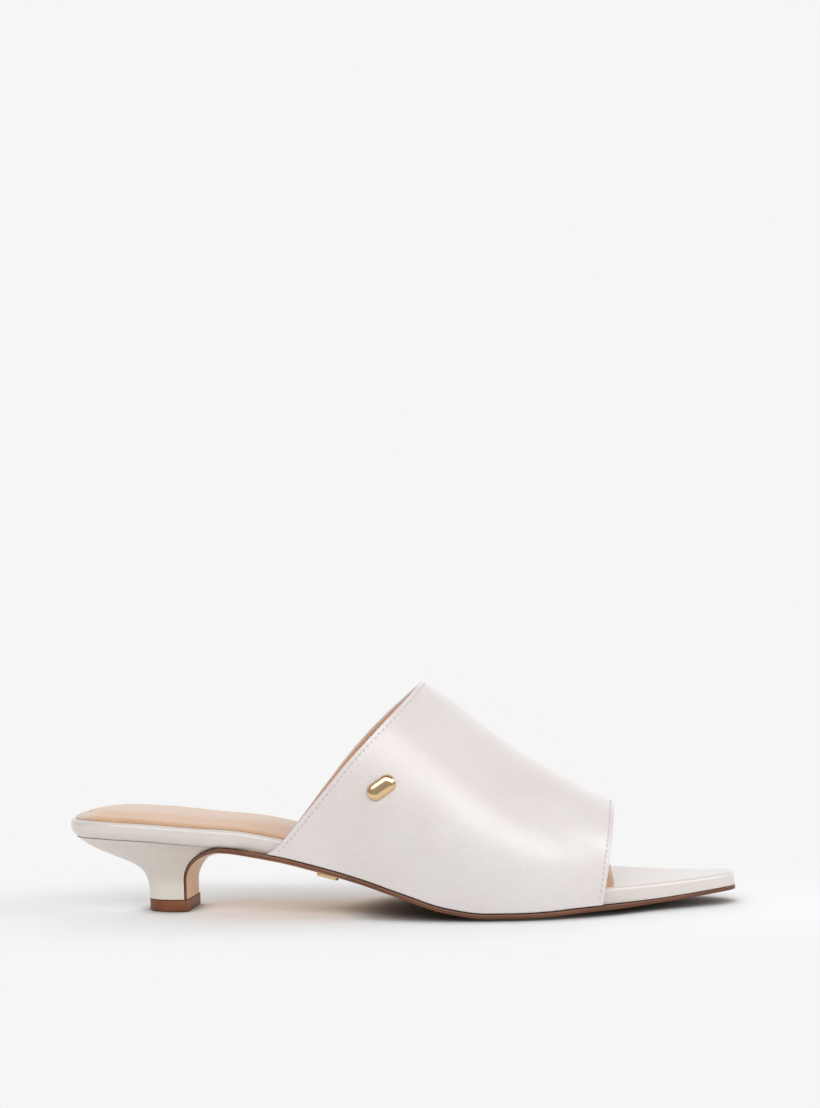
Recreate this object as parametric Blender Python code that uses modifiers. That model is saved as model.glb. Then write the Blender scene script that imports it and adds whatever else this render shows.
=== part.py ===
# Kitten heel sandal, a right shoe: an open-toe mule on a low covered heel.
# Units are metres. +X runs from heel to toe, +Y to the medial side, +Z up, and the floor is Z = 0.
# The origin is on the floor, under the middle of the shoe.
import bpy
import bmesh
import math
from collections import namedtuple
from mathutils import Matrix, Vector

MM = 0.001

# Overall sizes of the last and the sole
LENGTH = 250.9 * MM            # back of the seat to the tip of the toe
BALL_WIDTH = 74.4 * MM         # the platform across the ball
SEAT_WIDTH = 56 * MM           # the platform across the heel seat
WAIST_WIDTH = 50 * MM          # the platform across the arch
TIP_WIDTH = 11 * MM            # the blunt toe, before its corners are rounded
TIP_CORNER = 3.5 * MM
SEAT_ROUND = 25 * MM           # how far forward the round back of the seat reaches
SEAT_SQUARE = 2.3              # how square that round is (2 is an ellipse)
SEAT_HEIGHT = 30.2 * MM        # floor to the underside of the platform at the seat
TOE_SPRING = 6.4 * MM          # floor to the underside of the platform at the tip
INSTEP_HEIGHT = 84.5 * MM      # floor to the top of the collar
VAMP_FRONT_HEIGHT = 37.0 * MM  # floor to the top of the toe opening

# Thicknesses and clearances
GAP = 0.3 * MM                 # between pieces that touch
WALL = 1.8 * MM                # leather and lining of the upper
PLATFORM_THICK = 6.1 * MM
PLATFORM_SEAT_THICK = 6.8 * MM  # built up under the heel
PLATFORM_TIP_THICK = 5.1 * MM  # skived thinner towards the tip of the toe
PLATFORM_ROUND = 1.7 * MM      # rounded upper rim of the wrapped platform
SEAT_TAPER = 2.1 * MM          # the wrapped side draws in towards its lower edge at the seat
TAPER_UP = 0.6                 # that draught ends at this share of the platform's height
OUTSOLE_EDGE = 1.6 * MM        # the dressed edge of the outsole
OUTSOLE_TIP_EDGE = 1.3 * MM    # and at the tip of the toe
OUTSOLE_CROWN = 2.8 * MM       # how far the underside bulges below that edge in the waist
OUTSOLE_WELT = 0.3 * MM        # the outsole stands out this far past what it carries
WELT_RUN = 10 * MM             # over which the outsole widens to reach under the upper's wall
OUTSOLE_THICK = 2.5 * MM       # at the ball, edge and crown together
SOCK_THICK = 1.1 * MM          # padded under the heel
SOCK_FRONT_THICK = 0.7 * MM    # and thin from the waist forward
SOCK_ROUND = 1.2 * MM          # the sock's rounded edge
SOCK_INSET = 1.9 * MM          # ivory rim left showing round the sock
SOCK_FRONT = 81.8 * MM         # where the sock ends on the lateral side, ahead of the origin
SOCK_CUP = 0.5 * MM            # how far the middle of the seat is dished

# Heel block and top-lift
TIP_SETBACK = 29.1 * MM        # back of the seat to the back of the heel's tip
HEEL_TIP_LENGTH = 15.7 * MM
HEEL_TIP_WIDTH = 20.8 * MM
BREAST_RUN = 17 * MM           # the curve from the arch into the heel's breast, along the shoe
BREAST_DROP = 15.4 * MM        # and in height
BREAST_SWEEP = math.radians(72)  # how far it turns before it meets the arch
FLAP_THICK = 0.7 * MM          # the outsole thinned down the breast
FLAP_CROWN = 0.35 * MM
TOP_LIFT_HEIGHT = 4.4 * MM

# Edges of the vamp
COLLAR_TOP = 10 * MM           # the collar's highest point, ahead of the origin
COLLAR_LEAN = 0.907            # run of the collar's straight cut for each unit of height
COLLAR_BOW = 2.1 * MM          # the lateral collar bows forward of its straight cut
MEDIAL_SETBACK = 5.6 * MM      # the medial collar lies further back than the lateral one
VAMP_FRONT_TOP = 82.2 * MM     # the toe opening's edge at the crest, ahead of the origin
VAMP_FRONT_FOOT = 78.2 * MM    # the same edge where it meets the sole
FRONT_CURVE = 1.5              # how the edge leans between them (1 is straight)
FRONT_BOW = 0.3 * MM           # the toe opening's edge bows forward on the lateral side
FRONT_SKEW = 3.0 * MM          # the toe opening and the sock end further back on the medial side

# Trim
STUD_LENGTH = 11.6 * MM
STUD_WIDTH = 6.6 * MM
STUD_HEIGHT = 2.1 * MM
STUD_TILT = math.radians(34)   # it rises towards the toe
STUD_ALONG = -1.0 * MM         # where the stud sits, ahead of the origin
STUD_TURN = -0.660             # and its place between the lateral edge (-1) and the crest (0)
PLATE_LENGTH = 8.2 * MM
PLATE_WIDTH = 24 * MM
PLATE_THICK = 1.4 * MM
PLATE_ROUND = 0.5 * MM
PLATE_ALONG = -23.4 * MM

# How round the heel's tip is (2 is an ellipse), and the flat left at the end of a round stretch
TIP_SQUARE = 2.6
END_FLAT = 0.07
END_MARGIN = 2 * MM            # outline points nearer than this to a cut are left out
TOP_LIFT_EASE = 0.4 * MM
BREAST_END = 0.96              # the heel's front edge stops here on the breast's curve

# Where the sections change, as shares of LENGTH from the back of the heel
THICK_FROM, THICK_TO = 0.20, 0.50        # the platform thins ahead of the seat
DRAUGHT_FROM, DRAUGHT_TO = 0.10, 0.42    # the draught of its side fades out
PADDING_FROM, PADDING_TO = 0.12, 0.24    # the sock thins
CUP_FROM, CUP_TO = 0.25, 0.50            # the dish of the seat fades out

# How the curved pieces swell
BREAST_FLARE = 1.3             # how late the breast widens on its way up (1 is steadily)
FLARE_FROM = 0.35              # the heel follows the seat's outline above this share of its height
CROWN_POWER = 2.5              # how flat the middle of the outsole's underside is (2 is an arc)
WALL_TURN = 0.90               # share of the upper's girth above the upright foot of its wall

# Mesh density
BREAST_STEPS = 9
HEEL_STEPS = 14
STUD_STEPS = 16
SEAT_STEPS = 9
MIDDLE_STEPS = 34
CORNER_STEPS = 4
UPPER_LONG_STEPS = 20
UPPER_OVER_STEPS = 34

# Sections of the platform from heel to toe: place as a share of LENGTH, the width that the row
# follows, the lateral and medial half-widths as shares of it, the height that the row follows
# and the underside's height as a share of that, and the crown as a share of OUTSOLE_CROWN.
Sole = namedtuple("Sole", "along width lateral medial height lift crown")
SOLE = (
    Sole(0.000, SEAT_WIDTH, 0.489, 0.504, SEAT_HEIGHT, 0.975, 0.40),
    Sole(0.050, SEAT_WIDTH, 0.491, 0.505, SEAT_HEIGHT, 0.987, 0.40),
    Sole(0.095, SEAT_WIDTH, 0.493, 0.506, SEAT_HEIGHT, 0.967, 0.40),
    Sole(0.143, SEAT_WIDTH, 0.496, 0.500, SEAT_HEIGHT, 0.938, 0.40),
    Sole(0.206, SEAT_WIDTH, 0.500, 0.475, SEAT_HEIGHT, 0.889, 0.80),
    Sole(0.270, WAIST_WIDTH, 0.564, 0.480, SEAT_HEIGHT, 0.850, 0.84),
    Sole(0.333, WAIST_WIDTH, 0.568, 0.432, SEAT_HEIGHT, 0.765, 0.94),
    Sole(0.397, WAIST_WIDTH, 0.584, 0.408, SEAT_HEIGHT, 0.636, 1.00),
    Sole(0.460, WAIST_WIDTH, 0.620, 0.436, SEAT_HEIGHT, 0.489, 0.92),
    Sole(0.524, BALL_WIDTH, 0.452, 0.341, SEAT_HEIGHT, 0.312, 0.75),
    Sole(0.587, BALL_WIDTH, 0.487, 0.422, SEAT_HEIGHT, 0.150, 0.62),
    Sole(0.643, BALL_WIDTH, 0.500, 0.481, SEAT_HEIGHT, 0.084, 0.60),
    Sole(0.683, BALL_WIDTH, 0.497, 0.500, TOE_SPRING, 0.380, 0.60),
    Sole(0.730, BALL_WIDTH, 0.473, 0.500, TOE_SPRING, 0.420, 0.55),
    Sole(0.774, BALL_WIDTH, 0.425, 0.473, TOE_SPRING, 0.520, 0.46),
    Sole(0.813, BALL_WIDTH, 0.368, 0.433, TOE_SPRING, 0.570, 0.32),
    Sole(0.857, BALL_WIDTH, 0.290, 0.358, TOE_SPRING, 0.605, 0.20),
    Sole(0.889, BALL_WIDTH, 0.231, 0.304, TOE_SPRING, 0.650, 0.08),
    Sole(0.917, BALL_WIDTH, 0.181, 0.257, TOE_SPRING, 0.720, 0.05),
    Sole(0.948, BALL_WIDTH, 0.125, 0.203, TOE_SPRING, 0.815, 0.03),
    Sole(1.000, TIP_WIDTH, 0.200, 0.800, TOE_SPRING, 1.000, 0.02),
)

# Sections of the upper: place, the height that the row follows and the crest as a share of it,
# the crest's shift to the medial side as a share of BALL_WIDTH, and how square each side is
# (2 is an ellipse). Rows behind the collar only shape the sides.
Crest = namedtuple("Crest", "along height crest shift lateral medial")
CREST = (
    Crest(0.300, INSTEP_HEIGHT, 1.320, 0.010, 2.20, 2.20),
    Crest(0.380, INSTEP_HEIGHT, 1.245, 0.020, 2.20, 2.20),
    Crest(0.460, INSTEP_HEIGHT, 1.130, 0.040, 2.15, 2.20),
    Crest(0.540, INSTEP_HEIGHT, 1.000, 0.055, 2.10, 2.20),
    Crest(0.583, INSTEP_HEIGHT, 0.918, 0.060, 2.10, 2.25),
    Crest(0.640, INSTEP_HEIGHT, 0.776, 0.065, 2.10, 2.30),
    Crest(0.700, INSTEP_HEIGHT, 0.642, 0.065, 2.15, 2.35),
    Crest(0.760, VAMP_FRONT_HEIGHT, 1.228, 0.060, 2.20, 2.35),
    Crest(0.825, VAMP_FRONT_HEIGHT, 1.000, 0.055, 2.25, 2.35),
    Crest(0.880, VAMP_FRONT_HEIGHT, 0.830, 0.050, 2.25, 2.35),
)

# The heel's rear profile: height as a share of the heel's, and how far its back has drawn in
# from the seat towards the tip, as a share of TIP_SETBACK.
Back = namedtuple("Back", "height drawn")
HEEL_BACK = (
    Back(0.000, 1.000), Back(0.120, 1.000), Back(0.220, 0.990), Back(0.300, 0.970),
    Back(0.390, 0.940), Back(0.470, 0.885), Back(0.560, 0.765), Back(0.640, 0.590),
    Back(0.720, 0.395), Back(0.810, 0.225), Back(0.880, 0.125), Back(0.945, 0.055),
    Back(1.000, 0.000),
)

# The bow of the lateral collar, from the crest (0) to the foot (1), as a share of COLLAR_BOW.
Bow = namedtuple("Bow", "turn bow")
BOW = (
    Bow(0.00, 0.00), Bow(0.20, 0.62), Bow(0.33, 0.80), Bow(0.50, 0.62), Bow(0.62, 0.48),
    Bow(0.75, 0.75), Bow(0.88, 1.00), Bow(0.95, 0.85), Bow(1.00, 0.10),
)

# How far the medial collar is set back, from the crest to the foot, as a share of MEDIAL_SETBACK.
SETBACK = (
    Bow(0.00, 0.00), Bow(0.10, 0.03), Bow(0.22, 0.20), Bow(0.34, 0.43), Bow(0.46, 0.74),
    Bow(0.58, 0.97), Bow(0.64, 1.00), Bow(0.76, 0.84), Bow(0.88, 0.58), Bow(1.00, 0.35),
)


def curve(places, values):
    """A smooth function through the given points that never swings past them."""
    steps = [b - a for a, b in zip(places, places[1:])]
    slopes = [(b - a) / step for a, b, step in zip(values, values[1:], steps)]
    tangents = [slopes[0]]
    for i in range(1, len(slopes)):
        before, after = slopes[i - 1], slopes[i]
        if before * after <= 0:
            tangents.append(0.0)
            continue
        first = 2 * steps[i] + steps[i - 1]
        second = steps[i] + 2 * steps[i - 1]
        tangents.append((first + second) / (first / before + second / after))
    tangents.append(slopes[-1])

    def at(place):
        place = min(max(place, places[0]), places[-1])
        i = 0
        while i < len(steps) - 1 and place > places[i + 1]:
            i += 1
        t = (place - places[i]) / steps[i]
        return (values[i] * (1 + 2 * t) * (1 - t) ** 2
                + tangents[i] * steps[i] * t * (1 - t) ** 2
                + values[i + 1] * t * t * (3 - 2 * t)
                + tangents[i + 1] * steps[i] * t * t * (t - 1))
    return at


SOLE_PLACES = [row.along for row in SOLE]
CREST_PLACES = [row.along for row in CREST]
lateral_half = curve(SOLE_PLACES, [row.width * row.lateral for row in SOLE])
medial_half = curve(SOLE_PLACES, [row.width * row.medial for row in SOLE])
lift = curve(SOLE_PLACES, [row.height * row.lift for row in SOLE])
crown_share = curve(SOLE_PLACES, [row.crown for row in SOLE])
crest_height = curve(CREST_PLACES, [row.height * row.crest for row in CREST])
crest_shift = curve(CREST_PLACES, [row.shift * BALL_WIDTH for row in CREST])
lateral_square = curve(CREST_PLACES, [row.lateral for row in CREST])
medial_square = curve(CREST_PLACES, [row.medial for row in CREST])
heel_drawn = curve([row.height for row in HEEL_BACK], [row.drawn for row in HEEL_BACK])
collar_bow = curve([row.turn for row in BOW], [row.bow * COLLAR_BOW for row in BOW])
collar_setback = curve([row.turn for row in SETBACK],
                       [row.bow * MEDIAL_SETBACK for row in SETBACK])


def ease(x, start, end):
    """Rises smoothly from 0 at start to 1 at end."""
    t = min(max((x - start) / (end - start), 0), 1)
    return t * t * (3 - 2 * t)


def share(x):
    return x / LENGTH + 0.5


def place(along):
    return (along - 0.5) * LENGTH


def sole_top(x):
    """Height of the seam between the outsole and the platform."""
    return max(lift(share(x)), OUTSOLE_THICK)


def footbed(x):
    """Height of the platform's top."""
    built_up = 1 - ease(share(x), THICK_FROM, THICK_TO)
    thinned = ease(x, VAMP_FRONT_TOP, LENGTH / 2)
    return (sole_top(x) + PLATFORM_THICK + (PLATFORM_SEAT_THICK - PLATFORM_THICK) * built_up
            + (PLATFORM_TIP_THICK - PLATFORM_THICK) * thinned)


def half_width(half, along):
    """The platform's half-width, with the seat's round back and the toe's rounded corners."""
    width = half(along)
    from_back = along * LENGTH
    if from_back < SEAT_ROUND:
        width *= max(1 - (1 - from_back / SEAT_ROUND) ** SEAT_SQUARE, 0.004) ** (1 / SEAT_SQUARE)
    from_tip = (1 - along) * LENGTH
    if from_tip < TIP_CORNER:
        width -= TIP_CORNER * (1 - math.sqrt(max(1 - (1 - from_tip / TIP_CORNER) ** 2, 0)))
    return width


def stations():
    """Places from heel to toe, close together where the ends are round."""
    seat_end = SEAT_ROUND / LENGTH
    corner = TIP_CORNER / LENGTH
    seat = [seat_end * (1 - math.cos(i / SEAT_STEPS * math.pi / 2)) for i in range(SEAT_STEPS)]
    middle = [seat_end + (1 - corner - seat_end) * i / MIDDLE_STEPS for i in range(MIDDLE_STEPS)]
    toe = [1 - corner * (1 - math.sin(i / CORNER_STEPS * math.pi / 2))
           for i in range(CORNER_STEPS + 1)]
    return seat + middle + toe


STATIONS = stations()


def outline(grow):
    """The platform's plan as (lateral, medial) pairs of points, each moved out by grow(x)."""
    lateral = [Vector((place(s), -half_width(lateral_half, s))) for s in STATIONS]
    medial = [Vector((place(s), half_width(medial_half, s))) for s in STATIONS]
    loop = lateral + medial[::-1]
    moved = []
    for i, point in enumerate(loop):
        ahead = loop[(i + 1) % len(loop)]
        along = (ahead - loop[i - 1]).normalized()
        moved.append(point + Vector((along.y, -along.x)) * grow(point.x))
    count = len(STATIONS)
    return list(zip(moved[:count], moved[count:][::-1]))


def collar_foot():
    """Where the collar's cut reaches the sole on the lateral side."""
    x = COLLAR_TOP
    for _ in range(30):
        x += 0.5 * (COLLAR_TOP - (INSTEP_HEIGHT - sole_top(x)) * COLLAR_LEAN - x)
    return x


def outsole_grow(x):
    """The outsole reaches under the upper's wall, and is nearly flush elsewhere."""
    back = collar_foot() - MEDIAL_SETBACK
    begun = ease(x, back - WELT_RUN, back)
    ended = ease(x, VAMP_FRONT_FOOT, VAMP_FRONT_FOOT + 2 * WELT_RUN)
    under_vamp = begun * (1 - ended)
    return OUTSOLE_WELT + (WALL + GAP) * under_vamp


def edge_of(grow):
    """Two functions that give the grown outline's lateral and medial Y at a given X."""
    pairs = outline(grow)
    sides = []
    for side in (0, 1):
        points = sorted((pair[side].x, pair[side].y) for pair in pairs)
        sides.append(curve([p[0] for p in points], [p[1] for p in points]))
    return sides


upper_lateral, upper_medial = edge_of(lambda x: WALL + GAP)


def upper_point(x, turn):
    """A point of the upper's outer face: turn is -1 at the lateral foot, 0 at the crest, 1 at
    the medial foot."""
    along = share(x)
    foot_y = upper_lateral(x) if turn < 0 else upper_medial(x)
    square = lateral_square(along) if turn < 0 else medial_square(along)
    foot = sole_top(x) + GAP
    bed = footbed(x)
    up = 1 - abs(turn)
    if up < 1 - WALL_TURN:
        return Vector((x, foot_y, foot + (bed - foot) * up / (1 - WALL_TURN)))
    angle = (1 - abs(turn) / WALL_TURN) * math.pi / 2
    across, rise = math.cos(angle), math.sin(angle)
    reach = (max(across, 0) ** square + rise ** square) ** (-1 / square)
    middle = crest_shift(along)
    return Vector((x, middle + (foot_y - middle) * reach * across,
                   bed + (crest_height(along) - bed) * reach * rise))


def collar_cut(point, turn):
    """The collar is a slanting cut, bowed on the lateral side and set back on the medial."""
    shift = collar_bow(-turn) - collar_setback(turn)
    return COLLAR_TOP - (INSTEP_HEIGHT - point.z) * COLLAR_LEAN + shift


def front_cut(point, turn):
    """The toe opening's edge leans back towards the sole."""
    foot = sole_top(point.x) + GAP
    up = (point.z - foot) / (crest_height(share(point.x)) - foot)
    skew = FRONT_SKEW * ease(turn, 0, 0.5)
    bow = FRONT_BOW * math.sin(math.pi * min(max(-turn, 0), 1))
    lean = 1 - max(1 - up, 0) ** FRONT_CURVE
    return VAMP_FRONT_FOOT + (VAMP_FRONT_TOP - VAMP_FRONT_FOOT) * lean + bow - skew


def edge_x(cut, turn, start):
    """Where a cut crosses the line that runs along the upper at this turn."""
    x = start
    for _ in range(40):
        x += 0.5 * (cut(upper_point(x, turn), turn) - x)
    return x


def upper_grid(steps_along, steps_round):
    """Rows of points round the upper, from the collar to the toe opening."""
    turns = [-1 + 2 * j / steps_round for j in range(steps_round + 1)]
    starts = [edge_x(collar_cut, turn, 0) for turn in turns]
    ends = [edge_x(front_cut, turn, VAMP_FRONT_TOP) for turn in turns]
    rows = []
    for i in range(steps_along + 1):
        t = i / steps_along
        rows.append([upper_point(a + (b - a) * t, turn) for a, b, turn in zip(starts, ends, turns)])
    return rows


def clear_scene():
    for obj in list(bpy.data.objects):
        bpy.data.objects.remove(obj, do_unlink=True)
    collection = bpy.data.collections.new("kitten_heel_sandal")
    bpy.context.scene.collection.children.link(collection)
    return collection


def material(name, colour, roughness, metallic=0.0):
    made = bpy.data.materials.new(name)
    made.use_nodes = True
    shader = made.node_tree.nodes["Principled BSDF"]
    shader.inputs["Base Color"].default_value = (*colour, 1)
    shader.inputs["Roughness"].default_value = roughness
    shader.inputs["Metallic"].default_value = metallic
    return made


def add_object(name, bm, surface):
    bmesh.ops.recalc_face_normals(bm, faces=bm.faces)
    mesh = bpy.data.meshes.new(name)
    bm.to_mesh(mesh)
    bm.free()
    mesh.materials.append(surface)
    mesh.shade_smooth()
    mesh.set_sharp_from_angle(angle=math.radians(35))
    obj = bpy.data.objects.new(name, mesh)
    COLLECTION.objects.link(obj)
    return obj


def loft(name, levels, surface):
    """A closed solid from levels of (lateral, medial) pairs: walls between the levels, and the
    first and last closed by strips across."""
    bm = bmesh.new()
    rings = []
    for pairs in levels:
        lateral = [bm.verts.new(pair[0]) for pair in pairs]
        medial = [bm.verts.new(pair[1]) for pair in pairs]
        rings.append((lateral, medial))
    for (lateral, medial), (next_lateral, next_medial) in zip(rings, rings[1:]):
        loop = lateral + medial[::-1]
        above = next_lateral + next_medial[::-1]
        for i in range(len(loop)):
            bm.faces.new((loop[i - 1], loop[i], above[i], above[i - 1]))
    for lateral, medial in (rings[0], rings[-1]):
        for i in range(1, len(lateral)):
            bm.faces.new((lateral[i - 1], lateral[i], medial[i], medial[i - 1]))
    return add_object(name, bm, surface)


def level(pairs, height):
    """Gives each point of an outline its height."""
    return [tuple((p.x, p.y, height(p.x)) for p in pair) for pair in pairs]


def narrowed(pairs, portion):
    """Draws each pair together towards its middle."""
    made = []
    for lateral, medial in pairs:
        middle = (lateral + medial) / 2
        made.append((middle + (lateral - middle) * portion, middle + (medial - middle) * portion))
    return made


def make_platform(surface):
    """The wrapped platform: upright sides, a rounded upper rim, drawn in below at the seat."""
    def taper(x):
        return -SEAT_TAPER * (1 - ease(share(x), DRAUGHT_FROM, DRAUGHT_TO))

    def rounded(angle):
        inset = PLATFORM_ROUND * (1 - math.cos(angle))
        drop = PLATFORM_ROUND * (1 - math.sin(angle))
        return level(outline(lambda x: -inset), lambda x: footbed(x) - drop)

    def under(x):
        return sole_top(x) + GAP

    levels = [level(outline(taper), under)]
    for up in (TAPER_UP / 3, TAPER_UP * 0.75):
        levels.append(level(outline(lambda x: taper(x) * (1 - up / TAPER_UP) ** 2),
                            lambda x: under(x) + (footbed(x) - under(x)) * up))
    levels += [rounded(math.radians(a)) for a in (0, 30, 60, 90)]
    return loft("platform", levels, surface)


def make_sock(surface):
    """The padded insole sock on the platform, from the seat to just ahead of the vamp."""
    whole = outline(lambda x: 0)
    kept = [i for i, pair in enumerate(whole) if pair[0].x < SOCK_FRONT - FRONT_SKEW - END_MARGIN]

    def trimmed(inset):
        pairs = outline(lambda x: -inset)
        lateral, medial = edge_of(lambda x: -inset)
        ends = SOCK_FRONT, SOCK_FRONT - FRONT_SKEW
        front = Vector((ends[0], lateral(ends[0]))), Vector((ends[1], medial(ends[1])))
        return [pairs[i] for i in kept] + [front]

    def height(up, portion=1):
        def at(x):
            thinned = ease(share(x), PADDING_FROM, PADDING_TO)
            thick = SOCK_THICK + (SOCK_FRONT_THICK - SOCK_THICK) * thinned
            hollow = SOCK_CUP * (1 - ease(share(x), CUP_FROM, CUP_TO)) * (1 - portion ** 2)
            return footbed(x) + GAP + thick * up - hollow
        return at

    edge = trimmed(SOCK_INSET)
    inner = trimmed(SOCK_INSET + SOCK_ROUND)
    levels = [level(edge, height(0)), level(edge, height(0.3)),
              level(trimmed(SOCK_INSET + SOCK_ROUND / 3), height(0.75)), level(inner, height(1))]
    levels += [level(narrowed(inner, part), height(1, part)) for part in (0.75, 0.45, 0.15)]
    return loft("insole_sock", levels, surface)


def breast_point(turn):
    """The heel's breast, as (x, z, half-width): turn is 1 at the arch and 0 where it runs
    straight down."""
    front = -LENGTH / 2 + TIP_SETBACK + HEEL_TIP_LENGTH
    top = sole_top(front + BREAST_RUN)
    angle = turn * BREAST_SWEEP
    x = front + BREAST_RUN * (1 - math.cos(angle)) / (1 - math.cos(BREAST_SWEEP))
    z = top - BREAST_DROP * (1 - math.sin(angle) / math.sin(BREAST_SWEEP))
    foot = HEEL_TIP_WIDTH / 2
    reach = (half_width(lateral_half, share(x)) + half_width(medial_half, share(x))) / 2
    return x, z, foot + (reach - foot) * turn ** BREAST_FLARE


def seat_middle(x):
    """The seat's centre line, which the heel leaves as it narrows."""
    along = share(x)
    return (half_width(medial_half, along) - half_width(lateral_half, along)) / 2


def make_outsole(surface):
    """The outsole: toe, ball and arch, then down the breast of the heel as a thin flap."""
    front = -LENGTH / 2 + TIP_SETBACK + HEEL_TIP_LENGTH + BREAST_RUN
    flat = [pair for pair in outline(outsole_grow)[::-1] if min(p.x for p in pair) > front + END_MARGIN]
    path = level(flat, sole_top)
    flap_start = len(path)
    turns = [1 - i / BREAST_STEPS for i in range(BREAST_STEPS + 1)]
    for turn in turns:
        x, z, width = breast_point(turn)
        width += OUTSOLE_WELT * turn
        middle = seat_middle(x) * turn
        path.append(((x, middle - width, z), (x, middle + width, z)))
    x, _, width = breast_point(0)
    path.append(((x, -width, TOP_LIFT_HEIGHT + GAP), (x, width, TOP_LIFT_HEIGHT + GAP)))
    path = [(Vector(a), Vector(b)) for a, b in path]

    count = len(path)
    outward = []
    for i in range(count):
        before = sum(path[max(i - 1, 0)], Vector()) / 2
        after = sum(path[min(i + 1, count - 1)], Vector()) / 2
        run = after - before
        outward.append(Vector((-run.z, 0, run.x)).normalized())

    def sunk(portion, depth):
        made = []
        for i, (lateral, medial) in enumerate(path):
            middle = (lateral + medial) / 2
            pair = []
            for point in (lateral, medial):
                moved = middle + (point - middle) * portion + outward[i] * depth(i)
                moved.z = max(moved.z, 0)
                pair.append(moved)
            made.append(tuple(pair))
        return made

    def on_flap(i):
        return min(max(i - flap_start, 0) / (len(turns) - 1), 1)

    def edge(i):
        tip = ease((path[i][0].x + path[i][1].x) / 2, VAMP_FRONT_FOOT, LENGTH / 2)
        full = OUTSOLE_EDGE + (OUTSOLE_TIP_EDGE - OUTSOLE_EDGE) * tip
        return full + (FLAP_THICK - full) * on_flap(i)

    def crown(i):
        middle = (path[i][0].x + path[i][1].x) / 2
        full = OUTSOLE_CROWN * crown_share(share(middle))
        return FLAP_CROWN + (full - FLAP_CROWN) * (1 - on_flap(i)) ** 2

    levels = [sunk(1, lambda i: 0), sunk(1, edge)]
    for portion in (0.94, 0.82, 0.6, 0.3):
        levels.append(sunk(portion, lambda i: edge(i) + crown(i) * (1 - portion ** CROWN_POWER)))
    return loft("outsole", levels, surface)


def make_heel(surface):
    """The covered heel block: a D at the tip that flares into the seat's own outline."""
    tip = TOP_LIFT_HEIGHT + GAP
    seat = edge_of(lambda x: -SEAT_TAPER)
    back = -LENGTH / 2 + SEAT_TAPER
    top_front, _ = breast_face(BREAST_END)
    fronts = [(tip, 0), ((tip + breast_face(0)[1]) / 2, 0)]
    fronts += [(breast_face(BREAST_END * i / BREAST_STEPS)[1], BREAST_END * i / BREAST_STEPS)
               for i in range(BREAST_STEPS + 1)]
    fronts.append((sole_top(top_front), BREAST_END))
    levels = []
    for z, turn in fronts:
        front, _ = breast_face(turn)
        width = breast_point(turn)[2]
        up = (z - tip) / (sole_top(front) - tip)
        rear = back + (TIP_SETBACK - SEAT_TAPER) * heel_drawn(up)
        blend = ease(up, FLARE_FROM, 1)
        pairs = []
        for t in heel_stations():
            x = front + (rear - front) * t
            round_part = max(1 - t ** TIP_SQUARE, 0) ** (1 / TIP_SQUARE)
            seat_x = top_front + (back - top_front) * t
            height = tip + up * (sole_top(x) - tip)
            pair = []
            for side, sign in ((seat[0], -1), (seat[1], 1)):
                own = sign * width * max(round_part, END_FLAT)
                flared = side(seat_x) * width / breast_point(BREAST_END)[2]
                pair.append((x, own + (flared - own) * blend, height))
            pairs.append(tuple(pair))
        levels.append(pairs)
    return loft("heel_block", levels, surface)


def heel_stations():
    """Shares from the breast to the back of the heel, close together at the round back."""
    return [math.sin(i / HEEL_STEPS * math.pi / 2) for i in range(HEEL_STEPS + 1)]


def breast_face(turn):
    """The heel's own face behind the flap, a clearance away from it: (x, z)."""
    x, z, _ = breast_point(turn)
    angle = turn * BREAST_SWEEP
    return x - GAP * math.cos(angle), z + GAP * math.sin(angle)


def make_top_lift(surface):
    """The top-lift under the heel's tip, which also covers the end of the flap."""
    front = breast_point(0)[0] + FLAP_THICK + FLAP_CROWN
    rear = -LENGTH / 2 + TIP_SETBACK

    def pairs(inset, z):
        made = []
        for t in heel_stations():
            x = front - inset + (rear - front + 2 * inset) * t
            round_part = max(1 - t ** TIP_SQUARE, 0) ** (1 / TIP_SQUARE)
            half = (HEEL_TIP_WIDTH / 2 - inset) * max(round_part, END_FLAT)
            made.append(((x, -half, z), (x, half, z)))
        return made

    levels = [pairs(TOP_LIFT_EASE, 0), pairs(0, TOP_LIFT_EASE), pairs(0, TOP_LIFT_HEIGHT)]
    return loft("top_lift", levels, surface)


def make_upper(surface):
    """The vamp: one bent wall of leather and lining, open at the collar, the toe and below."""
    bm = bmesh.new()
    rows = [[bm.verts.new(point) for point in row]
            for row in upper_grid(UPPER_LONG_STEPS, UPPER_OVER_STEPS)]
    for row, ahead in zip(rows, rows[1:]):
        for j in range(len(row) - 1):
            bm.faces.new((row[j], ahead[j], ahead[j + 1], row[j + 1]))
    mesh = bpy.data.meshes.new("upper")
    bm.to_mesh(mesh)
    bm.free()
    mesh.materials.append(surface)
    mesh.shade_smooth()
    upper = bpy.data.objects.new("upper", mesh)
    COLLECTION.objects.link(upper)
    wall = upper.modifiers.new("wall", "SOLIDIFY")
    wall.thickness = WALL
    wall.offset = -1
    wall.use_even_offset = True
    return upper


def surface_frame(x, turn):
    """A point of the upper, its outward normal and the level direction towards the toe."""
    point = upper_point(x, turn)
    ahead = upper_point(x + 0.5 * MM, turn) - point
    over = upper_point(x, turn + 0.01) - point
    normal = ahead.cross(over).normalized()
    return point, normal, Vector((0, 0, 1)).cross(normal).normalized()


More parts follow.
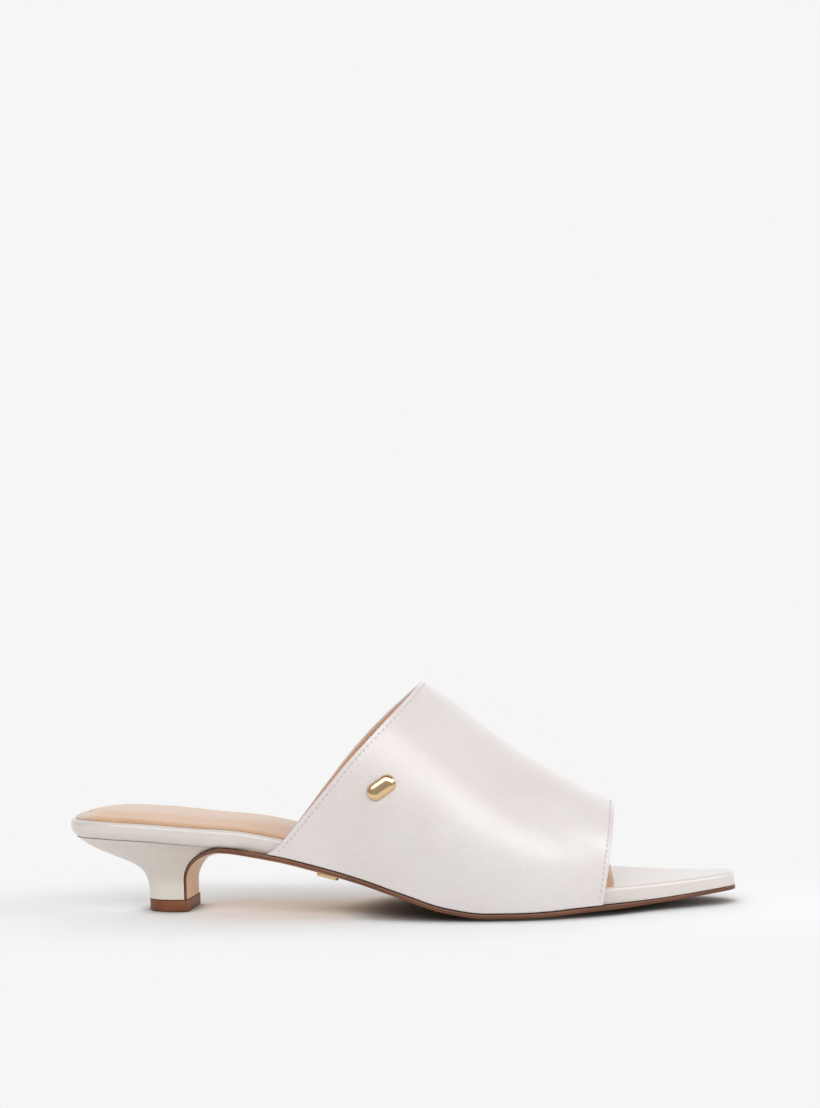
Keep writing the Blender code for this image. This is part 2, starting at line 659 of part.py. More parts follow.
def make_stud(surface):
    """A plain pill-shaped stud with a domed face, set slanting on the lateral side."""
    reach = STUD_LENGTH / 2
    radius = STUD_WIDTH / 2
    levels = []
    for inset, height in ((0.0, 0.0), (0.0, 0.45), (0.12, 0.75), (0.35, 0.93), (0.66, 1.0)):
        pairs = []
        for i in range(STUD_STEPS + 1):
            x = -reach * math.cos(i / STUD_STEPS * math.pi)
            past = max(abs(x) - (reach - radius), 0)
            half = math.sqrt(max(radius ** 2 - past ** 2, (END_FLAT * radius) ** 2))
            shrink = 1 - inset
            along = x * (reach - inset * radius) / reach
            pairs.append(((along, -half * shrink, height * STUD_HEIGHT),
                          (along, half * shrink, height * STUD_HEIGHT)))
        levels.append(pairs)
    stud = loft("vamp_stud", levels, surface)
    point, normal, level_way = surface_frame(STUD_ALONG, STUD_TURN)
    axes = Matrix((level_way, normal.cross(level_way), normal)).transposed()
    turn = Matrix.Rotation(STUD_TILT, 3, "Z")
    stud.matrix_world = Matrix.Translation(point + normal * GAP) @ (axes @ turn).to_4x4()
    return stud


def make_plate(surface):
    """A plain metal plate under the waist of the outsole."""
    ahead, behind = PLATE_ALONG + PLATE_LENGTH / 2, PLATE_ALONG - PLATE_LENGTH / 2
    slope = (sole_top(ahead) - sole_top(behind)) / PLATE_LENGTH
    depth = OUTSOLE_EDGE + OUTSOLE_CROWN * crown_share(share(PLATE_ALONG)) + GAP + PLATE_THICK / 2
    tilt = math.atan(slope)
    bm = bmesh.new()
    size = Matrix.Diagonal((PLATE_LENGTH, PLATE_WIDTH, PLATE_THICK, 1))
    bmesh.ops.create_cube(bm, size=1, matrix=size)
    plate = add_object("arch_plate", bm, surface)
    edge = plate.modifiers.new("eased edge", "BEVEL")
    edge.width = PLATE_ROUND
    edge.segments = 2
    plate.location = (PLATE_ALONG + depth * math.sin(tilt), seat_middle(PLATE_ALONG),
                      sole_top(PLATE_ALONG) - depth * math.cos(tilt))
    plate.rotation_euler = (0, -tilt, 0)
    return plate


COLLECTION = clear_scene()
make_platform(material("ivory wrapped leather", (0.72, 0.66, 0.61), 0.42))
make_sock(material("nude sock leather", (0.75, 0.53, 0.38), 0.38))
make_outsole(material("tan outsole leather", (0.58, 0.38, 0.25), 0.5))
make_heel(material("ivory heel cover", (0.66, 0.60, 0.54), 0.42))
make_top_lift(material("brown top-lift rubber", (0.17, 0.07, 0.035), 0.6))
make_upper(material("ivory vamp leather", (0.78, 0.72, 0.70), 0.35))
make_stud(material("polished gold metal", (0.90, 0.74, 0.42), 0.15, 1.0))
make_plate(material("brushed gold metal", (0.86, 0.74, 0.50), 0.3, 1.0))
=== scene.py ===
# %% [markdown]
# # A kitten heel sandal in ivory leather
# The shoe is an open-toe mule: one broad vamp over a wrapped platform, on a low covered heel.
# Every piece follows the same last, so the script first repeats the last's sizes and tables, and
# each piece is then a grid that is laid on that shape. A reader can change one size and see all
# the pieces move together.

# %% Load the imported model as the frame
import math
from collections import namedtuple

import bmesh
import bpy
from mathutils import Matrix, Vector
from mathutils.kdtree import KDTree


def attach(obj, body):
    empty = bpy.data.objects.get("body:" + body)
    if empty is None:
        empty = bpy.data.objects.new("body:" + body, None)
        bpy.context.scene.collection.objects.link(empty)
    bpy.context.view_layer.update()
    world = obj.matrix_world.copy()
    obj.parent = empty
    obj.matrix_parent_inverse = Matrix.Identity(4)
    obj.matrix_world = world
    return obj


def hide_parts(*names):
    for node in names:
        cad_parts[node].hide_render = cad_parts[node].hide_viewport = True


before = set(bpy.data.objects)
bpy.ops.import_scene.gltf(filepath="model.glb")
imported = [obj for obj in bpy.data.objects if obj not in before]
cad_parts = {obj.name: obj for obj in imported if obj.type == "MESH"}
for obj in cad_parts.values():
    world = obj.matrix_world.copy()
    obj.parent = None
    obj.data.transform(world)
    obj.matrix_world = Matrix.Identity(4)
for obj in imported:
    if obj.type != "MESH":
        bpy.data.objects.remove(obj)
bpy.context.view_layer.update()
MM = 0.001
print("nodes:", ", ".join(sorted(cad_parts)))

# %% [markdown]
# ## The sizes of the last and the sole
# A last is the wooden foot that a shoe is made round. Its length, widths and heights are named
# here once, with the names and values of the CAD source, so that each piece fits its node. Units
# are metres, +X runs from heel to toe, +Y to the medial side, and the floor is Z = 0.

# %% Sizes
LENGTH = 250.9 * MM
BALL_WIDTH = 74.4 * MM
SEAT_WIDTH = 56 * MM
WAIST_WIDTH = 50 * MM
TIP_WIDTH = 11 * MM
TIP_CORNER = 3.5 * MM
SEAT_ROUND = 25 * MM
SEAT_SQUARE = 2.3
SEAT_HEIGHT = 30.2 * MM
TOE_SPRING = 6.4 * MM
INSTEP_HEIGHT = 84.5 * MM
VAMP_FRONT_HEIGHT = 37.0 * MM
GAP = 0.3 * MM
WALL = 1.8 * MM
PLATFORM_THICK = 6.1 * MM
PLATFORM_SEAT_THICK = 6.8 * MM
PLATFORM_TIP_THICK = 5.1 * MM
PLATFORM_ROUND = 1.7 * MM
SEAT_TAPER = 2.1 * MM
TAPER_UP = 0.6
OUTSOLE_EDGE = 1.6 * MM
OUTSOLE_TIP_EDGE = 1.3 * MM
OUTSOLE_CROWN = 2.8 * MM
OUTSOLE_WELT = 0.3 * MM
WELT_RUN = 10 * MM
OUTSOLE_THICK = 2.5 * MM
SOCK_THICK = 1.1 * MM
SOCK_FRONT_THICK = 0.7 * MM
SOCK_ROUND = 1.2 * MM
SOCK_INSET = 1.9 * MM
SOCK_FRONT = 81.8 * MM
SOCK_CUP = 0.5 * MM
TIP_SETBACK = 29.1 * MM
HEEL_TIP_LENGTH = 15.7 * MM
HEEL_TIP_WIDTH = 20.8 * MM
BREAST_RUN = 17 * MM
BREAST_DROP = 15.4 * MM
BREAST_SWEEP = math.radians(72)
BREAST_END = 0.96
FLAP_THICK = 0.7 * MM
FLAP_CROWN = 0.35 * MM
TOP_LIFT_HEIGHT = 4.4 * MM
COLLAR_TOP = 10 * MM
COLLAR_LEAN = 0.907
COLLAR_BOW = 2.1 * MM
MEDIAL_SETBACK = 5.6 * MM
VAMP_FRONT_TOP = 82.2 * MM
VAMP_FRONT_FOOT = 78.2 * MM
FRONT_CURVE = 1.5
FRONT_BOW = 0.3 * MM
FRONT_SKEW = 3.0 * MM
STUD_LENGTH = 11.6 * MM
STUD_WIDTH = 6.6 * MM
STUD_HEIGHT = 2.1 * MM
STUD_TILT = math.radians(34)
STUD_ALONG = -1.0 * MM
STUD_TURN = -0.660
PLATE_LENGTH = 8.2 * MM
PLATE_WIDTH = 24 * MM
PLATE_THICK = 1.4 * MM
PLATE_ALONG = -23.4 * MM
TIP_SQUARE = 2.6
END_FLAT = 0.07
WALL_TURN = 0.90
THICK_FROM, THICK_TO = 0.20, 0.50
DRAUGHT_FROM, DRAUGHT_TO = 0.10, 0.42
PADDING_FROM, PADDING_TO = 0.12, 0.24
CUP_FROM, CUP_TO = 0.25, 0.50
BREAST_FLARE = 1.3
FLARE_FROM = 0.35
CROWN_POWER = 2.5
BACK_POINT = 0.004         # the seat's very back keeps this share, so that its ring stays open
END_MARGIN = 2 * MM        # outline points nearer than this to a cut are left out

# %% [markdown]
# ## Sections from heel to toe
# The first table holds the sole: where each section lies, its half-widths, its height and how
# far the underside bulges. The second holds the upper: the height of its crest, and how square
# its shoulders are. Both hold shares of the sizes above, so the tables scale with them.

# %% Tables
Sole = namedtuple("Sole", "along width lateral medial height lift crown")
SOLE = (
    Sole(0.000, SEAT_WIDTH, 0.489, 0.504, SEAT_HEIGHT, 0.975, 0.40),
    Sole(0.050, SEAT_WIDTH, 0.491, 0.505, SEAT_HEIGHT, 0.987, 0.40),
    Sole(0.095, SEAT_WIDTH, 0.493, 0.506, SEAT_HEIGHT, 0.967, 0.40),
    Sole(0.143, SEAT_WIDTH, 0.496, 0.500, SEAT_HEIGHT, 0.938, 0.40),
    Sole(0.206, SEAT_WIDTH, 0.500, 0.475, SEAT_HEIGHT, 0.889, 0.80),
    Sole(0.270, WAIST_WIDTH, 0.564, 0.480, SEAT_HEIGHT, 0.850, 0.84),
    Sole(0.333, WAIST_WIDTH, 0.568, 0.432, SEAT_HEIGHT, 0.765, 0.94),
    Sole(0.397, WAIST_WIDTH, 0.584, 0.408, SEAT_HEIGHT, 0.636, 1.00),
    Sole(0.460, WAIST_WIDTH, 0.620, 0.436, SEAT_HEIGHT, 0.489, 0.92),
    Sole(0.524, BALL_WIDTH, 0.452, 0.341, SEAT_HEIGHT, 0.312, 0.75),
    Sole(0.587, BALL_WIDTH, 0.487, 0.422, SEAT_HEIGHT, 0.150, 0.62),
    Sole(0.643, BALL_WIDTH, 0.500, 0.481, SEAT_HEIGHT, 0.084, 0.60),
    Sole(0.683, BALL_WIDTH, 0.497, 0.500, TOE_SPRING, 0.380, 0.60),
    Sole(0.730, BALL_WIDTH, 0.473, 0.500, TOE_SPRING, 0.420, 0.55),
    Sole(0.774, BALL_WIDTH, 0.425, 0.473, TOE_SPRING, 0.520, 0.46),
    Sole(0.813, BALL_WIDTH, 0.368, 0.433, TOE_SPRING, 0.570, 0.32),
    Sole(0.857, BALL_WIDTH, 0.290, 0.358, TOE_SPRING, 0.605, 0.20),
    Sole(0.889, BALL_WIDTH, 0.231, 0.304, TOE_SPRING, 0.650, 0.08),
    Sole(0.917, BALL_WIDTH, 0.181, 0.257, TOE_SPRING, 0.720, 0.05),
    Sole(0.948, BALL_WIDTH, 0.125, 0.203, TOE_SPRING, 0.815, 0.03),
    Sole(1.000, TIP_WIDTH, 0.200, 0.800, TOE_SPRING, 1.000, 0.02),
)
Crest = namedtuple("Crest", "along height crest shift lateral medial")
CREST = (
    Crest(0.300, INSTEP_HEIGHT, 1.320, 0.010, 2.20, 2.20),
    Crest(0.380, INSTEP_HEIGHT, 1.245, 0.020, 2.20, 2.20),
    Crest(0.460, INSTEP_HEIGHT, 1.130, 0.040, 2.15, 2.20),
    Crest(0.540, INSTEP_HEIGHT, 1.000, 0.055, 2.10, 2.20),
    Crest(0.583, INSTEP_HEIGHT, 0.918, 0.060, 2.10, 2.25),
    Crest(0.640, INSTEP_HEIGHT, 0.776, 0.065, 2.10, 2.30),
    Crest(0.700, INSTEP_HEIGHT, 0.642, 0.065, 2.15, 2.35),
    Crest(0.760, VAMP_FRONT_HEIGHT, 1.228, 0.060, 2.20, 2.35),
    Crest(0.825, VAMP_FRONT_HEIGHT, 1.000, 0.055, 2.25, 2.35),
    Crest(0.880, VAMP_FRONT_HEIGHT, 0.830, 0.050, 2.25, 2.35),
)
Back = namedtuple("Back", "height drawn")
HEEL_BACK = (
    Back(0.000, 1.000), Back(0.120, 1.000), Back(0.220, 0.990), Back(0.300, 0.970),
    Back(0.390, 0.940), Back(0.470, 0.885), Back(0.560, 0.765), Back(0.640, 0.590),
    Back(0.720, 0.395), Back(0.810, 0.225), Back(0.880, 0.125), Back(0.945, 0.055),
    Back(1.000, 0.000),
)
Bow = namedtuple("Bow", "turn bow")
BOW = (
    Bow(0.00, 0.00), Bow(0.20, 0.62), Bow(0.33, 0.80), Bow(0.50, 0.62), Bow(0.62, 0.48),
    Bow(0.75, 0.75), Bow(0.88, 1.00), Bow(0.95, 0.85), Bow(1.00, 0.10),
)
SETBACK = (
    Bow(0.00, 0.00), Bow(0.10, 0.03), Bow(0.22, 0.20), Bow(0.34, 0.43), Bow(0.46, 0.74),
    Bow(0.58, 0.97), Bow(0.64, 1.00), Bow(0.76, 0.84), Bow(0.88, 0.58), Bow(1.00, 0.35),
)

# %% [markdown]
# ## A smooth curve through a table
# Between two rows the shape must flow without a bump. A monotone cubic does that: it passes
# through each row and never swings past it, where an ordinary spline could.

# %% Curves
def curve(places, values):
    steps = [b - a for a, b in zip(places, places[1:])]
    slopes = [(b - a) / step for a, b, step in zip(values, values[1:], steps)]
    tangents = [slopes[0]]
    for i in range(1, len(slopes)):
        before, after = slopes[i - 1], slopes[i]
        if before * after <= 0:
            tangents.append(0.0)
            continue
        first = 2 * steps[i] + steps[i - 1]
        second = steps[i] + 2 * steps[i - 1]
        tangents.append((first + second) / (first / before + second / after))
    tangents.append(slopes[-1])

    def at(place):
        place = min(max(place, places[0]), places[-1])
        i = 0
        while i < len(steps) - 1 and place > places[i + 1]:
            i += 1
        t = (place - places[i]) / steps[i]
        return (values[i] * (1 + 2 * t) * (1 - t) ** 2
                + tangents[i] * steps[i] * t * (1 - t) ** 2
                + values[i + 1] * t * t * (3 - 2 * t)
                + tangents[i + 1] * steps[i] * t * t * (t - 1))
    return at


def ease(x, start, end):
    t = min(max((x - start) / (end - start), 0), 1)
    return t * t * (3 - 2 * t)


SOLE_PLACES = [row.along for row in SOLE]
CREST_PLACES = [row.along for row in CREST]
lateral_half = curve(SOLE_PLACES, [row.width * row.lateral for row in SOLE])
medial_half = curve(SOLE_PLACES, [row.width * row.medial for row in SOLE])
lift = curve(SOLE_PLACES, [row.height * row.lift for row in SOLE])
crown_share = curve(SOLE_PLACES, [row.crown for row in SOLE])
crest_height = curve(CREST_PLACES, [row.height * row.crest for row in CREST])
crest_shift = curve(CREST_PLACES, [row.shift * BALL_WIDTH for row in CREST])
lateral_square = curve(CREST_PLACES, [row.lateral for row in CREST])
medial_square = curve(CREST_PLACES, [row.medial for row in CREST])
heel_drawn = curve([row.height for row in HEEL_BACK], [row.drawn for row in HEEL_BACK])
collar_bow = curve([row.turn for row in BOW], [row.bow * COLLAR_BOW for row in BOW])
collar_setback = curve([row.turn for row in SETBACK],
                       [row.bow * MEDIAL_SETBACK for row in SETBACK])

# %% [markdown]
# ## The last as functions
# From the curves come the heights of the sole and the footbed, the plan outline, and each point
# of the upper. The outline is a list of pairs, one point on the lateral side and one on the
# medial side, so that any piece of the sole can be skinned across it.

# %% Sole and outline
def share(x):
    return x / LENGTH + 0.5


def place(along):
    return (along - 0.5) * LENGTH


def sole_top(x):
    return max(lift(share(x)), OUTSOLE_THICK)


def footbed(x):
    built_up = 1 - ease(share(x), THICK_FROM, THICK_TO)
    thinned = ease(x, VAMP_FRONT_TOP, LENGTH / 2)
    return (sole_top(x) + PLATFORM_THICK + (PLATFORM_SEAT_THICK - PLATFORM_THICK) * built_up
            + (PLATFORM_TIP_THICK - PLATFORM_THICK) * thinned)


def half_width(half, along):
    width = half(along)
    from_back = along * LENGTH
    if from_back < SEAT_ROUND:
        full = max(1 - (1 - from_back / SEAT_ROUND) ** SEAT_SQUARE, BACK_POINT)
        width *= full ** (1 / SEAT_SQUARE)
    from_tip = (1 - along) * LENGTH
    if from_tip < TIP_CORNER:
        width -= TIP_CORNER * (1 - math.sqrt(max(1 - (1 - from_tip / TIP_CORNER) ** 2, 0)))
    return width


def stations(seat_steps, middle_steps, corner_steps):
    seat_end = SEAT_ROUND / LENGTH
    corner = TIP_CORNER / LENGTH
    seat = [seat_end * (1 - math.cos(i / seat_steps * math.pi / 2)) for i in range(seat_steps)]
    middle = [seat_end + (1 - corner - seat_end) * i / middle_steps for i in range(middle_steps)]
    toe = [1 - corner * (1 - math.sin(i / corner_steps * math.pi / 2))
           for i in range(corner_steps + 1)]
    return seat + middle + toe


STATIONS = stations(seat_steps=22, middle_steps=120, corner_steps=8)


def outline(grow):
    lateral = [Vector((place(s), -half_width(lateral_half, s))) for s in STATIONS]
    medial = [Vector((place(s), half_width(medial_half, s))) for s in STATIONS]
    loop = lateral + medial[::-1]
    moved = []
    for i, point in enumerate(loop):
        ahead = loop[(i + 1) % len(loop)]
        along = (ahead - loop[i - 1]).normalized()
        moved.append(point + Vector((along.y, -along.x)) * grow(point.x))
    count = len(STATIONS)
    return list(zip(moved[:count], moved[count:][::-1]))


def edge_of(grow):
    pairs = outline(grow)
    sides = []
    for side in (0, 1):
        points = sorted((pair[side].x, pair[side].y) for pair in pairs)
        kept = [points[0]]
        for point in points[1:]:
            if point[0] > kept[-1][0] + 1e-6:
                kept.append(point)
        sides.append(curve([p[0] for p in kept], [p[1] for p in kept]))
    return sides


def collar_foot():
    """Where the collar's slant meets the sole, found by halving the distance left."""
    x = COLLAR_TOP
    for _ in range(30):
        x += 0.5 * (COLLAR_TOP - (INSTEP_HEIGHT - sole_top(x)) * COLLAR_LEAN - x)
    return x


COLLAR_FOOT = collar_foot()


def outsole_grow(x):
    back = COLLAR_FOOT - MEDIAL_SETBACK
    begun = ease(x, back - WELT_RUN, back)
    ended = ease(x, VAMP_FRONT_FOOT, VAMP_FRONT_FOOT + 2 * WELT_RUN)
    return OUTSOLE_WELT + (WALL + GAP) * begun * (1 - ended)


def seat_middle(x):
    along = share(x)
    return (half_width(medial_half, along) - half_width(lateral_half, along)) / 2


print(f"collar reaches the sole at {COLLAR_FOOT / MM:.1f} mm")

# %% [markdown]
# ## The upper as a surface
# A point of the vamp is given by its place along the shoe and a turn, which is -1 at the lateral
# foot, 0 at the crest and 1 at the medial foot. The collar and the toe opening are two cuts
# across that surface.

# %% Upper surface
upper_lateral, upper_medial = edge_of(lambda x: WALL + GAP)


def upper_point(x, turn):
    along = share(x)
    foot_y = upper_lateral(x) if turn < 0 else upper_medial(x)
    square = lateral_square(along) if turn < 0 else medial_square(along)
    foot = sole_top(x) + GAP
    bed = footbed(x)
    up = 1 - abs(turn)
    if up < 1 - WALL_TURN:
        return Vector((x, foot_y, foot + (bed - foot) * up / (1 - WALL_TURN)))
    angle = (1 - abs(turn) / WALL_TURN) * math.pi / 2
    across, rise = math.cos(angle), math.sin(angle)
    reach = (max(across, 0) ** square + rise ** square) ** (-1 / square)
    middle = crest_shift(along)
    return Vector((x, middle + (foot_y - middle) * reach * across,
                   bed + (crest_height(along) - bed) * reach * rise))


def collar_cut(point, turn):
    shift = collar_bow(-turn) - collar_setback(turn)
    return COLLAR_TOP - (INSTEP_HEIGHT - point.z) * COLLAR_LEAN + shift


def front_cut(point, turn):
    foot = sole_top(point.x) + GAP
    up = (point.z - foot) / (crest_height(share(point.x)) - foot)
    skew = FRONT_SKEW * ease(turn, 0, 0.5)
    bow = FRONT_BOW * math.sin(math.pi * min(max(-turn, 0), 1))
    lean = 1 - max(1 - up, 0) ** FRONT_CURVE
    return VAMP_FRONT_FOOT + (VAMP_FRONT_TOP - VAMP_FRONT_FOOT) * lean + bow - skew


def edge_x(cut, turn, start):
    """Where a cut crosses the surface at one turn, found by halving the distance left."""
    x = start
    for _ in range(40):
        x += 0.5 * (cut(upper_point(x, turn), turn) - x)
    return x


LAST_TURN = 0.985
TURN_STEP, LENGTH_STEP = 0.012, 0.5 * MM


def surface_normal(x, turn):
    near = min(max(turn, -LAST_TURN), LAST_TURN)
    over = upper_point(x, near + TURN_STEP) - upper_point(x, near - TURN_STEP)
    ahead = upper_point(x + LENGTH_STEP, near) - upper_point(x - LENGTH_STEP, near)
    return ahead.cross(over).normalized()


# %% [markdown]
# ## Grids and skins
# Most pieces here are bent sheets or closed bodies without a single straight edge. Rather than
# pushing boxes about, each starts as one flat grid. A sheet keeps its four sides. A skin wraps
# the grid round a stack of closed rings, and welding its seam and its ends makes it airtight.

# %% Mesh helpers
SAME_POINT = 0.004 * MM
NO_LENGTH = 0.001 * MM


def finish_mesh(name, bm, materials, sharp=35):
    mesh = bpy.data.meshes.new(name)
    bm.to_mesh(mesh)
    bm.free()
    for made in materials:
        mesh.materials.append(made)
    mesh.shade_smooth()
    if sharp:
        mesh.set_sharp_from_angle(angle=math.radians(sharp))
    piece = bpy.data.objects.new(name, mesh)
    bpy.context.scene.collection.objects.link(piece)
    return piece


def grid(across, up):
    bm = bmesh.new()
    bmesh.ops.create_grid(bm, x_segments=across, y_segments=up, size=0.5)
    return bm


def skin(rings, material_of=None):
    around, up = len(rings[0]), len(rings) - 1
    bm = grid(around, up)
    if material_of:
        for face in bm.faces:
            face.material_index = material_of(int((face.calc_center_median().y + 0.5) * up))
    for vert in bm.verts:
        i = round((vert.co.x + 0.5) * around) % around
        k = round((vert.co.y + 0.5) * up)
        vert.co = rings[k][i]
    bmesh.ops.remove_doubles(bm, verts=bm.verts, dist=SAME_POINT)
    bmesh.ops.dissolve_degenerate(bm, edges=bm.edges, dist=NO_LENGTH)
    bmesh.ops.recalc_face_normals(bm, faces=bm.faces)
    return bm


def ring(pairs, height):
    lateral = [Vector((p.x, p.y, height(p.x))) for p, _ in pairs]
    medial = [Vector((p.x, p.y, height(p.x))) for _, p in pairs]
    return lateral + medial[::-1]


def narrowed(pairs, portion):
    made = []
    for lateral, medial in pairs:
        middle = (lateral + medial) / 2
        made.append((middle + (lateral - middle) * portion, middle + (medial - middle) * portion))
    return made


# %% [markdown]
# ## Materials: helpers
# Colours are written as sRGB hex values, as they are picked from a photo, and one function turns
# them to the linear values that a shader adds up. One more function adds a node, sets its values
# and makes its links, so that each finish below reads as a short list.

# %% Colour and node helpers
def colour(code):
    parts = [int(code[i:i + 2], 16) / 255 for i in (1, 3, 5)]
    return tuple(c / 12.92 if c <= 0.04045 else ((c + 0.055) / 1.055) ** 2.4 for c in parts) + (1,)


def node(made, kind, values=None, links=None, **settings):
    added = made.node_tree.nodes.new(kind)
    for name, value in settings.items():
        setattr(added, name, value)
    for name, value in (values or {}).items():
        added.inputs[name].default_value = value
    for name, source in (links or {}).items():
        made.node_tree.links.new(source, added.inputs[name])
    return added


def surface(name, **sockets):
    made = bpy.data.materials.new(name)
    made.use_nodes = True
    shader = made.node_tree.nodes["Principled BSDF"]
    for socket, value in sockets.items():
        shader.inputs[socket.replace("_", " ")].default_value = value
    return made, shader


def link(made, source, shader, socket):
    made.node_tree.links.new(source, shader.inputs[socket])


def mix(made, factor, low, high):
    blend = node(made, "ShaderNodeMix", data_type="RGBA")
    made.node_tree.links.new(factor, blend.inputs["Factor"])
    for socket, value in ((blend.inputs[6], low), (blend.inputs[7], high)):
        if isinstance(value, tuple):
            socket.default_value = value
        else:
            made.node_tree.links.new(value, socket)
    return blend.outputs[2]


def ramp(made, source, low, high, to_low=0.0, to_high=1.0):
    spread = node(made, "ShaderNodeMapRange", {"From Min": low, "From Max": high,
                                               "To Min": to_low, "To Max": to_high},
                  {"Value": source}, interpolation_type="SMOOTHSTEP")
    return spread.outputs["Result"]


# %% [markdown]
# ## Materials: smooth leather
# The vamp, the platform and the heel are covered in calf leather with a finished grain. Two
# things make it read as leather and not as plastic: pores and fine wrinkles that break up the
# highlight, and a colour that drifts a little over the hide. Both come from noise on Object
# coordinates, so they keep their size on every piece. Grain cells of calf are 0.3 to 0.5 mm and
# would vanish in the render, so they are drawn about 0.9 mm wide and very shallow.

# %% Leather
def leather(name, mid, deep, pale, roughness, coat, depth=0.018, coat_rough=0.24, shine=0.5,
            coat_ior=1.5, painted_reflection=None):
    made, shader = surface(name, Roughness=roughness, Specular_IOR_Level=shine, IOR=1.5,
                           Coat_Weight=coat, Coat_Roughness=coat_rough, Coat_IOR=coat_ior)
    where = node(made, "ShaderNodeTexCoord").outputs["Object"]
    # slow drift of the dye over the hide, about 40 mm from patch to patch
    drift = node(made, "ShaderNodeTexNoise", {"Scale": 26, "Detail": 3, "Roughness": 0.55},
                 {"Vector": where}).outputs["Fac"]
    # the dye sits a little deeper in fine mottling of some 3 mm
    mottle = node(made, "ShaderNodeTexNoise", {"Scale": 330, "Detail": 4, "Roughness": 0.6},
                  {"Vector": where}).outputs["Fac"]
    base = mix(made, ramp(made, drift, 0.36, 0.64), colour(mid), colour(pale))
    base = mix(made, ramp(made, mottle, 0.45, 0.85, 0, 0.15), base, colour(deep))
    if painted_reflection:
        # painted reflection: the inner half and the very back of the seat are painted paler than
        # the near edge, for the sheen that the bright backdrop lays on them
        place = node(made, "ShaderNodeSeparateXYZ", links={"Vector": where}).outputs
        inner = ramp(made, place["Y"], -0.010, 0.012)
        rear = ramp(made, place["X"], -0.108, -0.120)
        either = node(made, "ShaderNodeMath", operation="MAXIMUM")
        made.node_tree.links.new(inner, either.inputs[0])
        made.node_tree.links.new(rear, either.inputs[1])
        base = mix(made, either.outputs[0], base, colour(painted_reflection))
    link(made, base, shader, "Base Color")
    # the closed grain: flat cells with fine valleys between them
    cells = node(made, "ShaderNodeTexVoronoi", {"Scale": 1100}, {"Vector": where},
                 feature="DISTANCE_TO_EDGE").outputs["Distance"]
    valleys = ramp(made, cells, 0.0, 0.16)
    wrinkles = node(made, "ShaderNodeTexNoise", {"Scale": 620, "Detail": 6, "Roughness": 0.62},
                    {"Vector": where}).outputs["Fac"]
    total = node(made, "ShaderNodeMath", operation="ADD")
    made.node_tree.links.new(valleys, total.inputs[0])
    made.node_tree.links.new(wrinkles, total.inputs[1])
    # the hide is never dead flat: hollows 12 mm wide bend the highlight
    swell = node(made, "ShaderNodeTexNoise", {"Scale": 85, "Detail": 2, "Roughness": 0.45},
                 {"Vector": where}).outputs["Fac"]
    soft = node(made, "ShaderNodeBump", {"Strength": 0.22, "Distance": 0.35 * MM},
                {"Height": swell})
    fine = node(made, "ShaderNodeBump", {"Strength": 0.55, "Distance": depth * MM},
                {"Height": total.outputs[0], "Normal": soft.outputs["Normal"]})
    link(made, fine.outputs["Normal"], shader, "Normal")
    # the wax finish is a shade duller in the mottled places
    link(made, ramp(made, mottle, 0.35, 0.80, roughness - 0.02, roughness + 0.03),
         shader, "Roughness")
    return made


VAMP_LEATHER = leather("ivory_calf_leather", "#dad0cc", "#d0c6c1", "#ddd5d2", 0.34, 0.62,
                       coat_rough=0.30, depth=0.10, shine=0.7, coat_ior=1.7)
WRAP_LEATHER = leather("ivory_wrapped_leather", "#d3c9c2", "#c8bdb5", "#d9d0ca", 0.34, 0.85,
                       depth=0.010, coat_rough=0.32, shine=0.7, coat_ior=1.6)
HEEL_LEATHER = leather("ivory_heel_cover_leather", "#dbd0c5", "#cfc3b7", "#e1d8ce", 0.40, 0.20)
# the sock's paler inner half and back are a painted reflection of the bright backdrop
SOCK_LEATHER = leather("nude_sock_leather", "#cc9d75", "#c18f66", "#d2a783", 0.46, 0.40,
                       depth=0.008, coat_rough=0.36, shine=0.3, painted_reflection="#d9bea8")
LINING_LEATHER = leather("tan_lining_leather", "#d8a37c", "#c68f68", "#e0b08a", 0.46, 0.10)

# %% [markdown]
# ## Materials: sole leather, edge dye, rubber, metal and thread
# Sole leather is thick, pressed and only lightly waxed, so it has streaks along its length. Its
# cut edge is dyed dark brown and burnished. The top-lift is rubber, which is dull with a faint
# speckle. The gold is plated metal: smooth on the stud, brushed on the plate. Thread is matt.

# %% Sole leather
def sole_leather(name, mid, deep, pale, roughness):
    made, shader = surface(name, Roughness=roughness, IOR=1.48, Coat_Weight=0.12,
                           Coat_Roughness=0.3)
    where = node(made, "ShaderNodeTexCoord").outputs["Object"]
    # fibres run along the sole: noise stretched eight times along X
    drawn = node(made, "ShaderNodeMapping", {"Scale": (0.125, 1, 1)}, {"Vector": where})
    fibre = node(made, "ShaderNodeTexNoise", {"Scale": 700, "Detail": 5, "Roughness": 0.6},
                 {"Vector": drawn.outputs["Vector"]}).outputs["Fac"]
    drift = node(made, "ShaderNodeTexNoise", {"Scale": 40, "Detail": 3}, {"Vector": where})
    base = mix(made, ramp(made, drift.outputs["Fac"], 0.35, 0.65), colour(mid), colour(pale))
    base = mix(made, ramp(made, fibre, 0.52, 0.72, 0, 0.6), base, colour(deep))
    link(made, base, shader, "Base Color")
    bump = node(made, "ShaderNodeBump", {"Strength": 0.5, "Distance": 0.05 * MM},
                {"Height": fibre})
    link(made, bump.outputs["Normal"], shader, "Normal")
    link(made, ramp(made, fibre, 0.3, 0.7, roughness - 0.06, roughness + 0.08),
         shader, "Roughness")
    return made


SOLE_LEATHER = sole_leather("tan_sole_leather", "#e2b68c", "#d2a073", "#e9c39f", 0.48)
EDGE_DYE = sole_leather("brown_burnished_edge", "#63391f", "#4d2a18", "#744629", 0.36)

